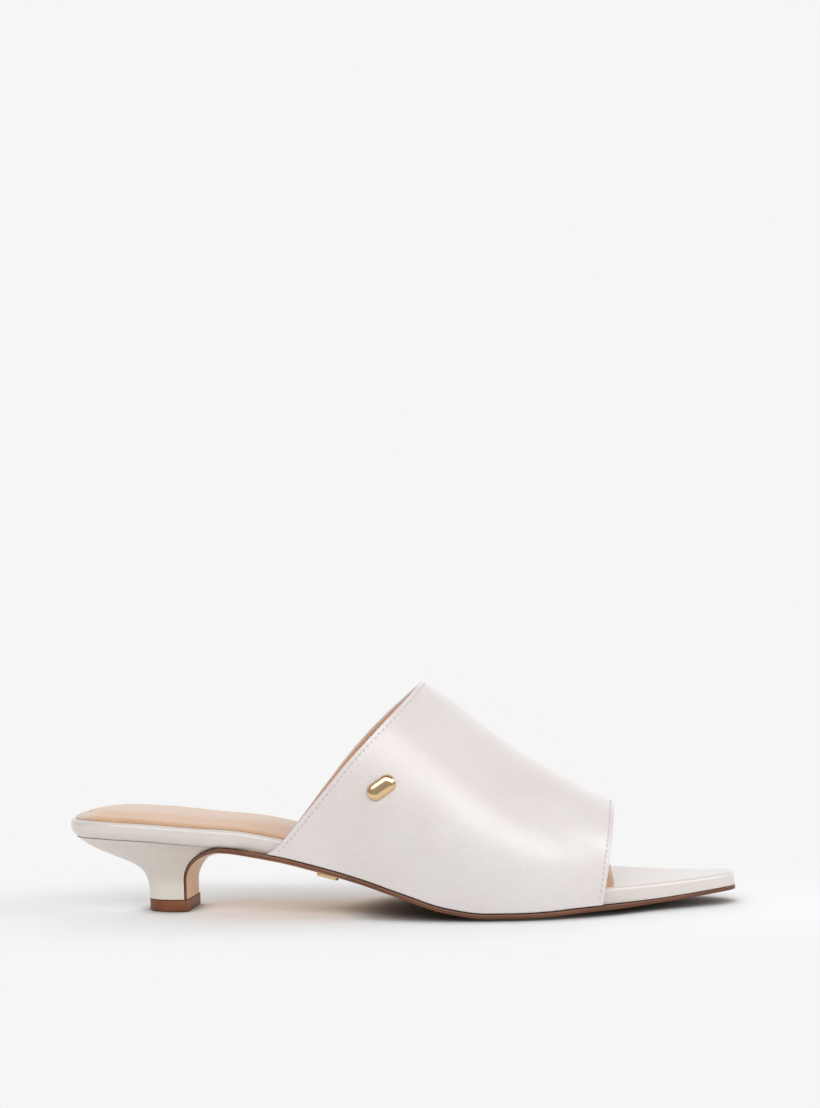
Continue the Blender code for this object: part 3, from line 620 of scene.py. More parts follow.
# %% Rubber, gold and thread
def rubber(name):
    made, shader = surface(name, IOR=1.52, Roughness=0.5)
    where = node(made, "ShaderNodeTexCoord").outputs["Object"]
    speck = node(made, "ShaderNodeTexNoise", {"Scale": 2400, "Detail": 3}, {"Vector": where})
    drift = node(made, "ShaderNodeTexNoise", {"Scale": 160, "Detail": 3}, {"Vector": where})
    base = mix(made, ramp(made, drift.outputs["Fac"], 0.35, 0.65), colour("#74401f"),
               colour("#844c28"))
    base = mix(made, ramp(made, speck.outputs["Fac"], 0.55, 0.75, 0, 0.5), base,
               colour("#522d1b"))
    link(made, base, shader, "Base Color")
    # moulded rubber has a matt skin, with specks of some 0.4 mm
    bump = node(made, "ShaderNodeBump", {"Strength": 0.5, "Distance": 0.03 * MM},
                {"Height": speck.outputs["Fac"]})
    link(made, bump.outputs["Normal"], shader, "Normal")
    link(made, ramp(made, drift.outputs["Fac"], 0.3, 0.7, 0.46, 0.58), shader, "Roughness")
    return made


def gold(name, tint, deep, roughness, lines, wear):
    made, shader = surface(name, Metallic=1.0, Roughness=roughness)
    where = node(made, "ShaderNodeTexCoord").outputs["Object"]
    drawn = node(made, "ShaderNodeMapping", {"Scale": lines}, {"Vector": where})
    # polishing and brushing both leave fine marks; the stretch says which way they run
    marks = node(made, "ShaderNodeTexNoise", {"Scale": 900, "Detail": 4, "Roughness": 0.6},
                 {"Vector": drawn.outputs["Vector"]}).outputs["Fac"]
    link(made, mix(made, ramp(made, marks, 0.4, 0.7), colour(tint), colour(deep)), shader,
         "Base Color")
    link(made, ramp(made, marks, 0.3, 0.7, roughness * 0.8, roughness * 1.3), shader,
         "Roughness")
    bump = node(made, "ShaderNodeBump", {"Strength": 0.3, "Distance": wear * MM},
                {"Height": marks})
    link(made, bump.outputs["Normal"], shader, "Normal")
    return made


def thread(name, tint, deep):
    made, shader = surface(name, Roughness=0.7, IOR=1.5, Sheen_Weight=0.3, Sheen_Roughness=0.5)
    where = node(made, "ShaderNodeTexCoord").outputs["Object"]
    # the twist of the yarn, about 0.3 mm a turn; loose fibres catch a soft sheen
    twist = node(made, "ShaderNodeTexNoise", {"Scale": 3000, "Detail": 2}, {"Vector": where})
    link(made, mix(made, ramp(made, twist.outputs["Fac"], 0.4, 0.6), colour(tint),
                   colour(deep)), shader, "Base Color")
    bump = node(made, "ShaderNodeBump", {"Strength": 0.6, "Distance": 0.05 * MM},
                {"Height": twist.outputs["Fac"]})
    link(made, bump.outputs["Normal"], shader, "Normal")
    return made


LIFT_RUBBER = rubber("brown_moulded_rubber")
POLISHED_GOLD = gold("polished_gold_plate", "#e9c99c", "#e2bf90", 0.12, (1, 1, 1), 0.001)
BRUSHED_GOLD = gold("brushed_gold_plate", "#ecd3a2", "#dcbf8a", 0.30, (6, 0.4, 1), 0.01)
STITCH_THREAD = thread("waxed_linen_thread", "#cbc1bc", "#bab0ab")
LINING_THREAD = thread("brown_bobbin_thread", "#7d4c30", "#633a24")

# %% [markdown]
# ## The vamp
# The vamp is one piece of leather, bent over the instep and lasted under at both sides. It could
# be a subdivided box, but its edges are two slanting cuts, so a grid whose first row is the
# collar and whose last row is the toe opening follows them exactly. Its rows stand close
# together near both edges, where the stitching presses a groove into the leather.

# %% Collar and toe edges
ROUND_STEPS = 240
TURNS = [-1 + 2 * j / ROUND_STEPS for j in range(ROUND_STEPS + 1)]
COLLAR_X = [edge_x(collar_cut, turn, 0) for turn in TURNS]
FRONT_X = [edge_x(front_cut, turn, VAMP_FRONT_TOP) for turn in TURNS]
collar_edge = [upper_point(x, turn) for x, turn in zip(COLLAR_X, TURNS)]
front_edge = [upper_point(x, turn) for x, turn in zip(FRONT_X, TURNS)]
print(f"collar {sum((b - a).length for a, b in zip(collar_edge, collar_edge[1:])) / MM:.0f} mm,",
      f"toe opening {sum((b - a).length for a, b in zip(front_edge, front_edge[1:])) / MM:.0f} mm")


TREE_STEPS = 6


def tree_of(points):
    fine = []
    for a, b in zip(points, points[1:]):
        fine += [a.lerp(b, k / TREE_STEPS) for k in range(TREE_STEPS)]
    fine.append(points[-1])
    tree = KDTree(len(fine))
    for i, point in enumerate(fine):
        tree.insert(point, i)
    tree.balance()
    return tree


COLLAR_TREE = tree_of(collar_edge)
FRONT_TREE = tree_of(front_edge)

# %% [markdown]
# ## Soft folds and stitched edges
# Worn or lasted leather is never a perfect curve. A few long, shallow troughs are placed
# where a foot bends the vamp and where the last pulls it in. Each is a row of a table: its two
# ends as (mm ahead of the origin, turn), its width and its depth. A negative depth is a ridge.

# %% Folds
Fold = namedtuple("Fold", "from_x from_turn to_x to_turn width depth")
FOLDS = (
    Fold(-14, -0.80, 12, -0.28, 9, 0.30),
    Fold(22, -0.10, 60, -0.62, 13, 0.35),
    Fold(40, 0.05, 74, -0.40, 10, -0.25),
    Fold(20, 0.15, 58, 0.70, 13, 0.35),
    Fold(10, -0.98, 50, -0.86, 6, 0.22),
    Fold(34, 0.95, 66, 0.84, 7, 0.22),
    Fold(-8, 0.75, 8, 0.25, 9, 0.25),
)
STITCH_INSET = 1.8 * MM
GROOVE_WIDTH = 0.55 * MM
GROOVE_DEPTH = 0.10 * MM
SWELL_INSET, SWELL_WIDTH, SWELL_HEIGHT = 0.8 * MM, 0.6 * MM, 0.04 * MM
PRESSED_BAND = 5 * MM      # beyond this from an edge the leather is not pressed
HELD_TURN = 0.12           # the lasted feet of the vamp are held flat over this share of a side
FOLD_END = 0.02            # a fold keeps a little depth at its ends


def fold_sink(point, lines):
    total = 0.0
    for (a, b), fold in zip(lines, FOLDS):
        along = b - a
        t = min(max((point - a).dot(along) / along.length_squared, 0), 1)
        away = (point - a.lerp(b, t)).length / (fold.width * MM)
        fade = math.sin(math.pi * min(max(t, FOLD_END), 1 - FOLD_END)) ** 0.5
        total += fold.depth * MM * math.exp(-away * away) * fade
    return total


FOLD_LINES = [(upper_point(f.from_x * MM, f.from_turn), upper_point(f.to_x * MM, f.to_turn))
              for f in FOLDS]


def edge_press(point):
    """How far the leather sinks in the stitched groove, and swells between it and the edge."""
    near = min(COLLAR_TREE.find(point)[2], FRONT_TREE.find(point)[2])
    if near > PRESSED_BAND:
        return 0.0
    groove = GROOVE_DEPTH * math.exp(-((near - STITCH_INSET) / GROOVE_WIDTH) ** 2)
    swell = SWELL_HEIGHT * math.exp(-((near - SWELL_INSET) / SWELL_WIDTH) ** 2)
    return groove - swell


def vamp_place(x, turn, depth=0.0):
    """A point on the finished vamp, its folds and grooves pressed in, depth below its face."""
    point = upper_point(x, turn)
    held = ease(1 - abs(turn), 0.0, HELD_TURN)
    sink = (fold_sink(point, FOLD_LINES) + edge_press(point)) * held
    return point - surface_normal(x, turn) * (sink + depth)


# %% Rows of the vamp
INSIDE_SHOE = Vector((40 * MM, 0, 20 * MM))
CUT_ANGLE = math.radians(50)


def row_shares(edge_rows, middle_rows, edge_share):
    first = [edge_share * (i / edge_rows) for i in range(edge_rows)]
    middle = [edge_share + (1 - 2 * edge_share) * i / middle_rows for i in range(middle_rows)]
    last = [1 - edge_share + edge_share * i / edge_rows for i in range(edge_rows + 1)]
    return first + middle + last


def bent_sheet(rows, shape):
    bm = grid(ROUND_STEPS, len(rows) - 1)
    for vert in bm.verts:
        j = round((vert.co.x + 0.5) * ROUND_STEPS)
        i = round((vert.co.y + 0.5) * (len(rows) - 1))
        vert.co = shape(rows[i], j)
    bmesh.ops.recalc_face_normals(bm, faces=bm.faces)
    return bm


def facing_out(bm):
    """Turns a sheet over if its faces look into the shoe."""
    votes = sum(1 if face.normal.dot(face.calc_center_median() - INSIDE_SHOE) > 0 else -1
                for face in bm.faces)
    if votes < 0:
        bmesh.ops.reverse_faces(bm, faces=bm.faces)


def walled(piece, thickness, rim, segments=3):
    """Gives a sheet its thickness inwards and rounds its cut edges."""
    wall = piece.modifiers.new("leather thickness", "SOLIDIFY")
    wall.thickness = thickness
    wall.offset = -1
    wall.use_even_offset = True
    edge = piece.modifiers.new("turned edge", "BEVEL")
    edge.width = rim
    edge.segments = segments
    edge.limit_method = "ANGLE"
    edge.angle_limit = CUT_ANGLE
    return piece


LEATHER_THICK, LEATHER_RIM = 1.05 * MM, 0.42 * MM
LINING_THICK, LINING_RIM = 0.65 * MM, 0.2 * MM


def vamp_shape(t, j):
    return vamp_place(COLLAR_X[j] + (FRONT_X[j] - COLLAR_X[j]) * t, TURNS[j])


bm = bent_sheet(row_shares(edge_rows=16, middle_rows=62, edge_share=0.075), vamp_shape)
facing_out(bm)
vamp = walled(finish_mesh("vamp", bm, [VAMP_LEATHER], sharp=None), LEATHER_THICK, LEATHER_RIM)
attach(vamp, "root")

# %% [markdown]
# ## The lining of the vamp
# Inside the vamp lies a second, thinner skin of tan leather. It shows as a warm sliver inside
# the collar and at the toe. It is a separate sheet, set in from the folded edge of the vamp, as
# a shoemaker trims it.

# %% Lining
COLLAR_TRIM, TOE_TRIM = 0.7 * MM, 0.5 * MM
LINING_GAP = 0.03 * MM


def lining_shape(t, j):
    start, end = COLLAR_X[j] + COLLAR_TRIM, FRONT_X[j] - TOE_TRIM
    return vamp_place(start + (end - start) * t, TURNS[j], LEATHER_THICK + LINING_GAP)


bm = bent_sheet(row_shares(edge_rows=4, middle_rows=40, edge_share=0.04), lining_shape)
facing_out(bm)
lining = walled(finish_mesh("vamp_lining", bm, [LINING_LEATHER], sharp=None),
                LINING_THICK, LINING_RIM, segments=2)
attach(lining, "root")
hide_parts("upper")

# %% [markdown]
# ## The stitches
# A row of short stitches runs along both edges, 1.8 mm in, at about 2 mm a stitch. The groove is
# already pressed in the leather, so a stitch is only a small grain of thread that lies in it,
# with its ends down in the holes. The same grain is copied along each edge and turned to follow.
# Inside the collar the seam shows again, as a row of brown bobbin thread on the tan lining.

# %% Stitches
STITCH_PITCH = 2.1 * MM
STITCH_LENGTH, STITCH_WIDTH, STITCH_HEIGHT = 1.35 * MM, 0.5 * MM, 0.32 * MM
STITCH_LIFT = 0.02 * MM
STITCH_SLANT = math.radians(10)
LOWEST_STITCH = 1.5 * MM   # above the sole, where the seam runs under the lasted edge


def stitch_line(edges, inward):
    """Points along the groove, one every pitch: (place, direction, outward normal)."""
    fine = []
    for j, turn in enumerate(TURNS):
        x = edges[j]
        for _ in range(6):
            near = (COLLAR_TREE if inward > 0 else FRONT_TREE).find(upper_point(x, turn))[2]
            x += inward * (STITCH_INSET - near) * 0.9
        fine.append((vamp_place(x, turn), surface_normal(x, turn)))
    made, walked = [], STITCH_PITCH / 2
    for (a, na), (b, nb) in zip(fine, fine[1:]):
        step = (b - a).length
        while walked < step:
            t = walked / step
            made.append((a.lerp(b, t), (b - a).normalized(), na.lerp(nb, t).normalized()))
            walked += STITCH_PITCH
        walked -= step
    return [spot for spot in made if spot[0].z > sole_top(spot[0].x) + LOWEST_STITCH]


def sew(name, spots, thread_used):
    bm = bmesh.new()
    slant = Matrix.Rotation(STITCH_SLANT, 4, "Z")
    size = Matrix.Diagonal((STITCH_LENGTH / 2, STITCH_WIDTH / 2, STITCH_HEIGHT / 2, 1))
    for spot, along, out in spots:
        side = out.cross(along).normalized()
        turn = Matrix((along, side, out)).transposed().to_4x4()
        lay = Matrix.Translation(spot + out * STITCH_LIFT) @ turn @ slant @ size
        bmesh.ops.create_uvsphere(bm, u_segments=8, v_segments=6, radius=1,
                                  matrix=lay @ Matrix.Rotation(math.pi / 2, 4, "Y"))
    piece = finish_mesh(name, bm, [thread_used], sharp=None)
    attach(piece, "root")


collar_spots = stitch_line(COLLAR_X, 1)
front_spots = stitch_line(FRONT_X, -1)
sew("collar_stitches", collar_spots, STITCH_THREAD)
sew("toe_stitches", front_spots, STITCH_THREAD)
# the collar seam again, seen on the inner side, through the leather and the lining
through = LEATHER_THICK + LINING_GAP + LINING_THICK
sew("lining_stitches", [(spot - out * through, along, -out) for spot, along, out in collar_spots],
    LINING_THREAD)
print(f"{len(collar_spots)} collar stitches, {len(front_spots)} toe stitches")

# %% [markdown]
# ## The wrapped platform
# The platform is a board wrapped in the same leather. Its side is upright with a rounded upper
# rim, and it draws in below at the seat. It is a skin over closed rings: each ring is the plan
# outline moved in or out, at its own height, and the last ring closes on the middle line.

# %% Platform
FOOT_INSET, FOOT_RISE = 0.3 * MM, 0.18 * MM
RIM_STEPS = 8


def draught(x):
    return -SEAT_TAPER * (1 - ease(share(x), DRAUGHT_FROM, DRAUGHT_TO))


def under(x):
    return sole_top(x) + GAP / 2


def platform_rings():
    rings = [ring(narrowed(outline(draught), portion), under) for portion in (0, 0.5, 0.9)]
    rings.append(ring(outline(lambda x: draught(x) - FOOT_INSET), under))
    rings.append(ring(outline(draught), lambda x: under(x) + FOOT_RISE))
    for up in (0.12, 0.22, 0.32, 0.42, 0.5):
        rings.append(ring(outline(lambda x: draught(x) * (1 - up / TAPER_UP) ** 2),
                          lambda x: under(x) + (footbed(x) - under(x)) * up))
    for step in range(RIM_STEPS + 1):
        angle = math.radians(90 * step / RIM_STEPS)
        inset = PLATFORM_ROUND * (1 - math.cos(angle))
        drop = PLATFORM_ROUND * (1 - math.sin(angle))
        rings.append(ring(outline(lambda x: -inset), lambda x: footbed(x) - drop))
    top = outline(lambda x: -PLATFORM_ROUND)
    rings += [ring(narrowed(top, portion), footbed) for portion in (0.9, 0.6, 0.3, 0)]
    return rings


platform = finish_mesh("wrapped_platform", skin(platform_rings()), [WRAP_LEATHER])
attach(platform, "root")
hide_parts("platform")

# %% [markdown]
# ## The insole sock
# The sock is the soft leather that the foot rests on. It is padded under the heel and thin from
# the waist forward, ends on a slant just ahead of the vamp, and leaves an ivory rim all round.
# The same skin of rings serves, with the inner rings pressed down to a shallow cup at the seat.

# %% Sock
SOCK_LIFT = 0.05 * MM
# the rounded edge: how far in, in shares of SOCK_ROUND, and how far up, in shares of the height
SOCK_EDGE = ((0.05, 0), (0, 0.10), (0, 0.28), (0.08, 0.38), (0.5, 0.56), (1, 0.72), (1.7, 0.86),
             (2.4, 0.95), (3.2, 1))


def sock_rings():
    whole = outline(lambda x: 0)
    last = SOCK_FRONT - FRONT_SKEW - END_MARGIN
    kept = [i for i, pair in enumerate(whole) if pair[0].x < last]

    def trimmed(inset):
        pairs = outline(lambda x: -inset)
        lateral, medial = edge_of(lambda x: -inset)
        ends = SOCK_FRONT, SOCK_FRONT - FRONT_SKEW
        front = Vector((ends[0], lateral(ends[0]))), Vector((ends[1], medial(ends[1])))
        return [pairs[i] for i in kept] + [front]

    def height(up, portion=1):
        def at(x):
            thinned = ease(share(x), PADDING_FROM, PADDING_TO)
            thick = SOCK_THICK + (SOCK_FRONT_THICK - SOCK_THICK) * thinned
            hollow = SOCK_CUP * (1 - ease(share(x), CUP_FROM, CUP_TO)) * (1 - portion ** 2)
            return footbed(x) + SOCK_LIFT + (thick + GAP) * up - hollow
        return at

    edge = trimmed(SOCK_INSET)
    rings = [ring(narrowed(edge, portion), height(0)) for portion in (0, 0.6)]
    for inset, up in SOCK_EDGE:
        rings.append(ring(trimmed(SOCK_INSET + SOCK_ROUND * inset), height(up)))
    inner = trimmed(SOCK_INSET + SOCK_ROUND * SOCK_EDGE[-1][0])
    rings += [ring(narrowed(inner, part), height(1, part))
              for part in (0.9, 0.75, 0.6, 0.45, 0.3, 0.15, 0)]
    return rings


sock = finish_mesh("sock", skin(sock_rings()), [SOCK_LEATHER])
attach(sock, "root")
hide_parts("insole_sock")

# %% [markdown]
# ## The outsole
# The outsole runs from the toe over the arch and down the front of the heel as a thin flap. It
# is skinned along that whole path: the rings sink below the path, first straight down for the
# dyed edge and then inwards over the crowned underside. The edge rings take the brown dye and
# the others the bare tan leather.

# %% Breast of the heel
BREAST_STEPS = 28


def breast_point(turn):
    front = -LENGTH / 2 + TIP_SETBACK + HEEL_TIP_LENGTH
    top = sole_top(front + BREAST_RUN)
    angle = turn * BREAST_SWEEP
    x = front + BREAST_RUN * (1 - math.cos(angle)) / (1 - math.cos(BREAST_SWEEP))
    z = top - BREAST_DROP * (1 - math.sin(angle) / math.sin(BREAST_SWEEP))
    foot = HEEL_TIP_WIDTH / 2
    reach = (half_width(lateral_half, share(x)) + half_width(medial_half, share(x))) / 2
    return x, z, foot + (reach - foot) * turn ** BREAST_FLARE


def breast_face(turn):
    x, z, _ = breast_point(turn)
    angle = turn * BREAST_SWEEP
    return x - GAP * math.cos(angle), z + GAP * math.sin(angle)


# %% Outsole
SOLE_BEVEL = 0.22 * MM
# the cut edge: how far down, in shares of its thickness, and how far in, in millimetres
CUT_EDGE = ((0.02, 0.25), (0.15, 0.08), (0.35, 0.0), (0.65, 0.0), (0.85, 0.06))
UNDERSIDE = (0.97, 0.94, 0.88, 0.8, 0.7, 0.58, 0.44, 0.3, 0.15, 0)


def outsole_rings():
    front = -LENGTH / 2 + TIP_SETBACK + HEEL_TIP_LENGTH + BREAST_RUN
    path = [((a.x, a.y, sole_top(a.x)), (b.x, b.y, sole_top(b.x)))
            for a, b in outline(outsole_grow)[::-1] if min(a.x, b.x) > front + END_MARGIN]
    flap_start = len(path)
    for i in range(BREAST_STEPS + 1):
        turn = 1 - i / BREAST_STEPS
        x, z, width = breast_point(turn)
        width += OUTSOLE_WELT * turn
        middle = seat_middle(x) * turn
        path.append(((x, middle - width, z), (x, middle + width, z)))
    x, z, width = breast_point(0)
    for part in (0.25, 0.5, 0.75, 1):
        low = z + (TOP_LIFT_HEIGHT + GAP - z) * part
        path.append(((x, -width, low), (x, width, low)))
    path = [(Vector(a), Vector(b)) for a, b in path]
    count = len(path)
    outward = []
    for i in range(count):
        before = sum(path[max(i - 2, 0)], Vector()) / 2
        after = sum(path[min(i + 2, count - 1)], Vector()) / 2
        run = after - before
        outward.append(Vector((-run.z, 0, run.x)).normalized())

    def on_flap(i):
        return min(max(i - flap_start, 0) / BREAST_STEPS, 1)

    def edge(i):
        tip = ease((path[i][0].x + path[i][1].x) / 2, VAMP_FRONT_FOOT, LENGTH / 2)
        full = OUTSOLE_EDGE + (OUTSOLE_TIP_EDGE - OUTSOLE_EDGE) * tip
        return full + (FLAP_THICK - full) * on_flap(i)

    def crown(i):
        full = OUTSOLE_CROWN * crown_share(share(sum(path[i], Vector()).x / 2))
        return FLAP_CROWN + (full - FLAP_CROWN) * (1 - on_flap(i)) ** 2

    def sunk(portion, depth, inset=0.0):
        lateral, medial = [], []
        for i, pair in enumerate(path):
            middle = (pair[0] + pair[1]) / 2
            for made, point in zip((lateral, medial), pair):
                arm = point - middle
                moved = middle + arm * max(portion - inset / max(arm.length, 1 * MM), 0)
                moved += outward[i] * depth(i)
                moved.z = max(moved.z, 0)
                made.append(moved)
        return lateral + medial[::-1]

    rings = [sunk(portion, lambda i: 0.0) for portion in (0, 0.5, 0.9)]
    for down, inset in CUT_EDGE:
        rings.append(sunk(1, lambda i: edge(i) * down, inset * MM))
    rings.append(sunk(1, edge, SOLE_BEVEL))
    for portion in UNDERSIDE:
        rings.append(sunk(portion, lambda i: edge(i) + crown(i) * (1 - portion ** CROWN_POWER)))
    return rings


DYED_FROM, DYED_TO = 2, 8  # the rings of the cut edge, counted from the top
outsole = finish_mesh("sole", skin(outsole_rings(), lambda k: int(DYED_FROM <= k < DYED_TO)),
                      [SOLE_LEATHER, EDGE_DYE])
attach(outsole, "root")
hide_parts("outsole")

# %% [markdown]
# ## The covered heel
# The heel is a moulded block with leather stretched over it. From below it is a D, square at the
# breast and round behind, and it flares upwards until it meets the outline of the seat. Each
# ring is one height of that change.

# %% Heel
HEEL_STATIONS = 34
UPRIGHT_STEPS = 6


def heel_rings():
    tip = TOP_LIFT_HEIGHT + GAP
    seat = edge_of(lambda x: -SEAT_TAPER)
    back = -LENGTH / 2 + SEAT_TAPER
    top_front, _ = breast_face(BREAST_END)
    low = breast_face(0)[1]
    fronts = [(tip + (low - tip) * i / UPRIGHT_STEPS, 0) for i in range(UPRIGHT_STEPS)]
    fronts += [(breast_face(BREAST_END * i / BREAST_STEPS)[1], BREAST_END * i / BREAST_STEPS)
               for i in range(BREAST_STEPS + 1)]
    fronts.append((sole_top(top_front), BREAST_END))
    rings = []
    for z, turn in fronts:
        front, _ = breast_face(turn)
        width = breast_point(turn)[2]
        up = (z - tip) / (sole_top(front) - tip)
        rear = back + (TIP_SETBACK - SEAT_TAPER) * heel_drawn(up)
        blend = ease(up, FLARE_FROM, 1)
        lateral, medial = [], []
        for i in range(HEEL_STATIONS + 1):
            t = math.sin(i / HEEL_STATIONS * math.pi / 2)
            x = front + (rear - front) * t
            round_part = max(1 - t ** TIP_SQUARE, 0) ** (1 / TIP_SQUARE)
            seat_x = top_front + (back - top_front) * t
            height = tip + up * (sole_top(x) - tip)
            for made, side, sign in ((lateral, seat[0], -1), (medial, seat[1], 1)):
                own = sign * width * max(round_part, END_FLAT)
                flared = side(seat_x) * width / breast_point(BREAST_END)[2]
                made.append(Vector((x, own + (flared - own) * blend, height)))
        rings.append((lateral, medial))

    def closed(pairs, portion):
        lateral, medial = pairs
        a = [((p + q) / 2).lerp(p, portion) for p, q in zip(lateral, medial)]
        b = [((p + q) / 2).lerp(q, portion) for p, q in zip(lateral, medial)]
        return a + b[::-1]

    made = [closed(rings[0], portion) for portion in (0, 0.5, 0.94)]
    made += [closed(pair, 1) for pair in rings]
    made += [closed(rings[-1], portion) for portion in (0.94, 0.5, 0)]
    return made


heel = finish_mesh("covered_heel", skin(heel_rings()), [HEEL_LEATHER], sharp=48)
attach(heel, "root")
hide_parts("heel_block")

# %% [markdown]
# ## The top-lift
# Under the heel's tip sits a piece of brown rubber, the part that wears down and is replaced. It
# has the same D outline, upright sides and a small bevel where it meets the floor.

# %% Top-lift
LIFT_BEVEL, LIFT_TOP_BEVEL = 0.6 * MM, 0.3 * MM


def lift_rings():
    front = breast_point(0)[0] + FLAP_THICK + FLAP_CROWN
    rear = -LENGTH / 2 + TIP_SETBACK

    def at(inset, z, portion=1):
        lateral, medial = [], []
        for i in range(HEEL_STATIONS + 1):
            t = math.sin(i / HEEL_STATIONS * math.pi / 2)
            x = front - inset + (rear - front + 2 * inset) * t
            round_part = max(1 - t ** TIP_SQUARE, 0) ** (1 / TIP_SQUARE)
            half = (HEEL_TIP_WIDTH / 2 - inset) * max(round_part, END_FLAT) * portion
            lateral.append(Vector((x, -half, z)))
            medial.append(Vector((x, half, z)))
        return lateral + medial[::-1]

    high = TOP_LIFT_HEIGHT
    # how far in and how high, in millimetres, from the bevel at the floor to the one on top
    steps = ((0.6, 0.0), (0.35, 0.03), (0.15, 0.15), (0.04, 0.35), (0.0, 0.6), (0.0, 2.2),
             (0.0, high / MM - 0.3), (0.05, high / MM - 0.12), (0.16, high / MM - 0.03))
    rings = [at(LIFT_BEVEL, 0, portion) for portion in (0, 0.5, 0.9)]
    rings += [at(inset * MM, z * MM) for inset, z in steps]
    rings += [at(LIFT_TOP_BEVEL, high, portion) for portion in (1, 0.9, 0.5, 0)]
    return rings


top_lift = finish_mesh("rubber_top_lift", skin(lift_rings()), [LIFT_RUBBER])
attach(top_lift, "root")
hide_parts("top_lift")

# %% [markdown]
# ## The stud and the plate
# A plain domed pill in polished gold sits on the side of the vamp, rising towards the toe. It is
# a stack of rings like the rest: a short wall, then a dome that closes at the top. Under the
# waist lies a thin brushed plate, which is a cube with its corners and edges bevelled.

# %% Stud
STUD_WALL, STUD_SHOULDER = 0.72 * MM, 0.985
STUD_DOME = 0.8
STUD_SINK = 0.1 * MM
END_STEPS, DOME_STEPS = 28, 12


def stud_rings(lay):
    radius = STUD_WIDTH / 2
    arm = STUD_LENGTH / 2 - radius

    def at(shrink, height):
        r = radius * shrink
        loop = []
        for end, start in ((1, -90), (-1, 90)):
            for i in range(END_STEPS):
                angle = math.radians(start + 180 * i / (END_STEPS - 1))
                loop.append(lay @ Vector((end * arm + r * math.cos(angle), r * math.sin(angle),
                                          height)))
        return loop

    rings = [at(s, 0) for s in (0, 0.6, 0.94)]
    rings += [at(1.0, 0.06 * MM), at(1.0, 0.50 * MM), at(STUD_SHOULDER, STUD_WALL)]
    for step in range(1, DOME_STEPS + 1):
        angle = math.radians(90 * step / DOME_STEPS)
        shrink = STUD_SHOULDER * math.cos(angle) ** STUD_DOME if step < DOME_STEPS else 0
        rings.append(at(shrink, STUD_WALL + (STUD_HEIGHT - STUD_WALL) * math.sin(angle)))
    return rings


stud_normal = surface_normal(STUD_ALONG, STUD_TURN)
level_way = Vector((0, 0, 1)).cross(stud_normal).normalized()
stud_axes = Matrix((level_way, stud_normal.cross(level_way), stud_normal)).transposed().to_4x4()
stud_seat = vamp_place(STUD_ALONG, STUD_TURN) - stud_normal * STUD_SINK
stud_lay = Matrix.Translation(stud_seat) @ stud_axes @ Matrix.Rotation(STUD_TILT, 4, "Z")
stud = finish_mesh("gold_stud", skin(stud_rings(stud_lay)), [POLISHED_GOLD])
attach(stud, "root")
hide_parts("vamp_stud")

# %% Plate
PLATE_CORNER, PLATE_RIM = 1.2 * MM, 0.3 * MM
SHARP_EDGE = 1.0           # radians between two faces, above which an edge is a rim
ahead, behind = PLATE_ALONG + PLATE_LENGTH / 2, PLATE_ALONG - PLATE_LENGTH / 2
plate_tilt = math.atan((sole_top(ahead) - sole_top(behind)) / PLATE_LENGTH)
plate_depth = OUTSOLE_EDGE + OUTSOLE_CROWN * crown_share(share(PLATE_ALONG)) + PLATE_THICK / 2
plate_spot = Vector((PLATE_ALONG + plate_depth * math.sin(plate_tilt), seat_middle(PLATE_ALONG),
                     sole_top(PLATE_ALONG) - plate_depth * math.cos(plate_tilt)))
bm = bmesh.new()
bmesh.ops.create_cube(bm, size=1,
                      matrix=Matrix.Diagonal((PLATE_LENGTH, PLATE_WIDTH, PLATE_THICK, 1)))
corners = [e for e in bm.edges if abs(e.verts[0].co.z - e.verts[1].co.z) > PLATE_THICK / 2]
bmesh.ops.bevel(bm, geom=corners, offset=PLATE_CORNER, offset_type="OFFSET", segments=6,
                profile=0.5, affect="EDGES", material=-1)
rims = [e for e in bm.edges if len(e.link_faces) == 2 and e.calc_face_angle() > SHARP_EDGE]
bmesh.ops.bevel(bm, geom=rims, offset=PLATE_RIM, offset_type="OFFSET", segments=3,
                profile=0.5, affect="EDGES", material=-1)
bmesh.ops.transform(bm, matrix=Matrix.Translation(plate_spot)
                    @ Matrix.Rotation(-plate_tilt, 4, "Y"), verts=bm.verts)
plate = finish_mesh("waist_plate", bm, [BRUSHED_GOLD])
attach(plate, "root")
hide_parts("arch_plate")

# %% [markdown]
# ## Floor, light and camera
# The shoe stands on pale paper. Right under the sole the paper's colour is darkened, a painted
# contact shadow that deepens the rendered one, and away from the shoe it fades into the
# background. The world is a light tent that is bright above and dim at eye level, so that the
# shadow keeps its depth, while the camera sees an even backdrop. One long, tilted softbox high in
# front draws the slanting highlight down the vamp. A small lamp high on the toe side lifts the
# toe's top, a weak strip behind gives the crest its rim of light, and a large lamp behind fills
# the far side without being mirrored.

# %% Floor
BACKGROUND, PAPER, PAINTED_CONTACT_SHADOW = "#f6f6f6", "#eff0f1", "#7c7c7c"
SHADOW_REACH = 14 * MM
FADE_FROM, FADE_TO = 30 * MM, 110 * MM
FLOOR_SIZE = 12
made, shader = surface("pale_paper_floor", Roughness=0.9, Specular_IOR_Level=0.0)
# painted shadow: where the sole nearly touches the paper, the paper's colour is darkened
close = node(made, "ShaderNodeAmbientOcclusion", {"Distance": SHADOW_REACH}, samples=8)
link(made, mix(made, ramp(made, close.outputs["AO"], 0.25, 0.9), colour(PAINTED_CONTACT_SHADOW),
               colour(PAPER)), shader, "Base Color")
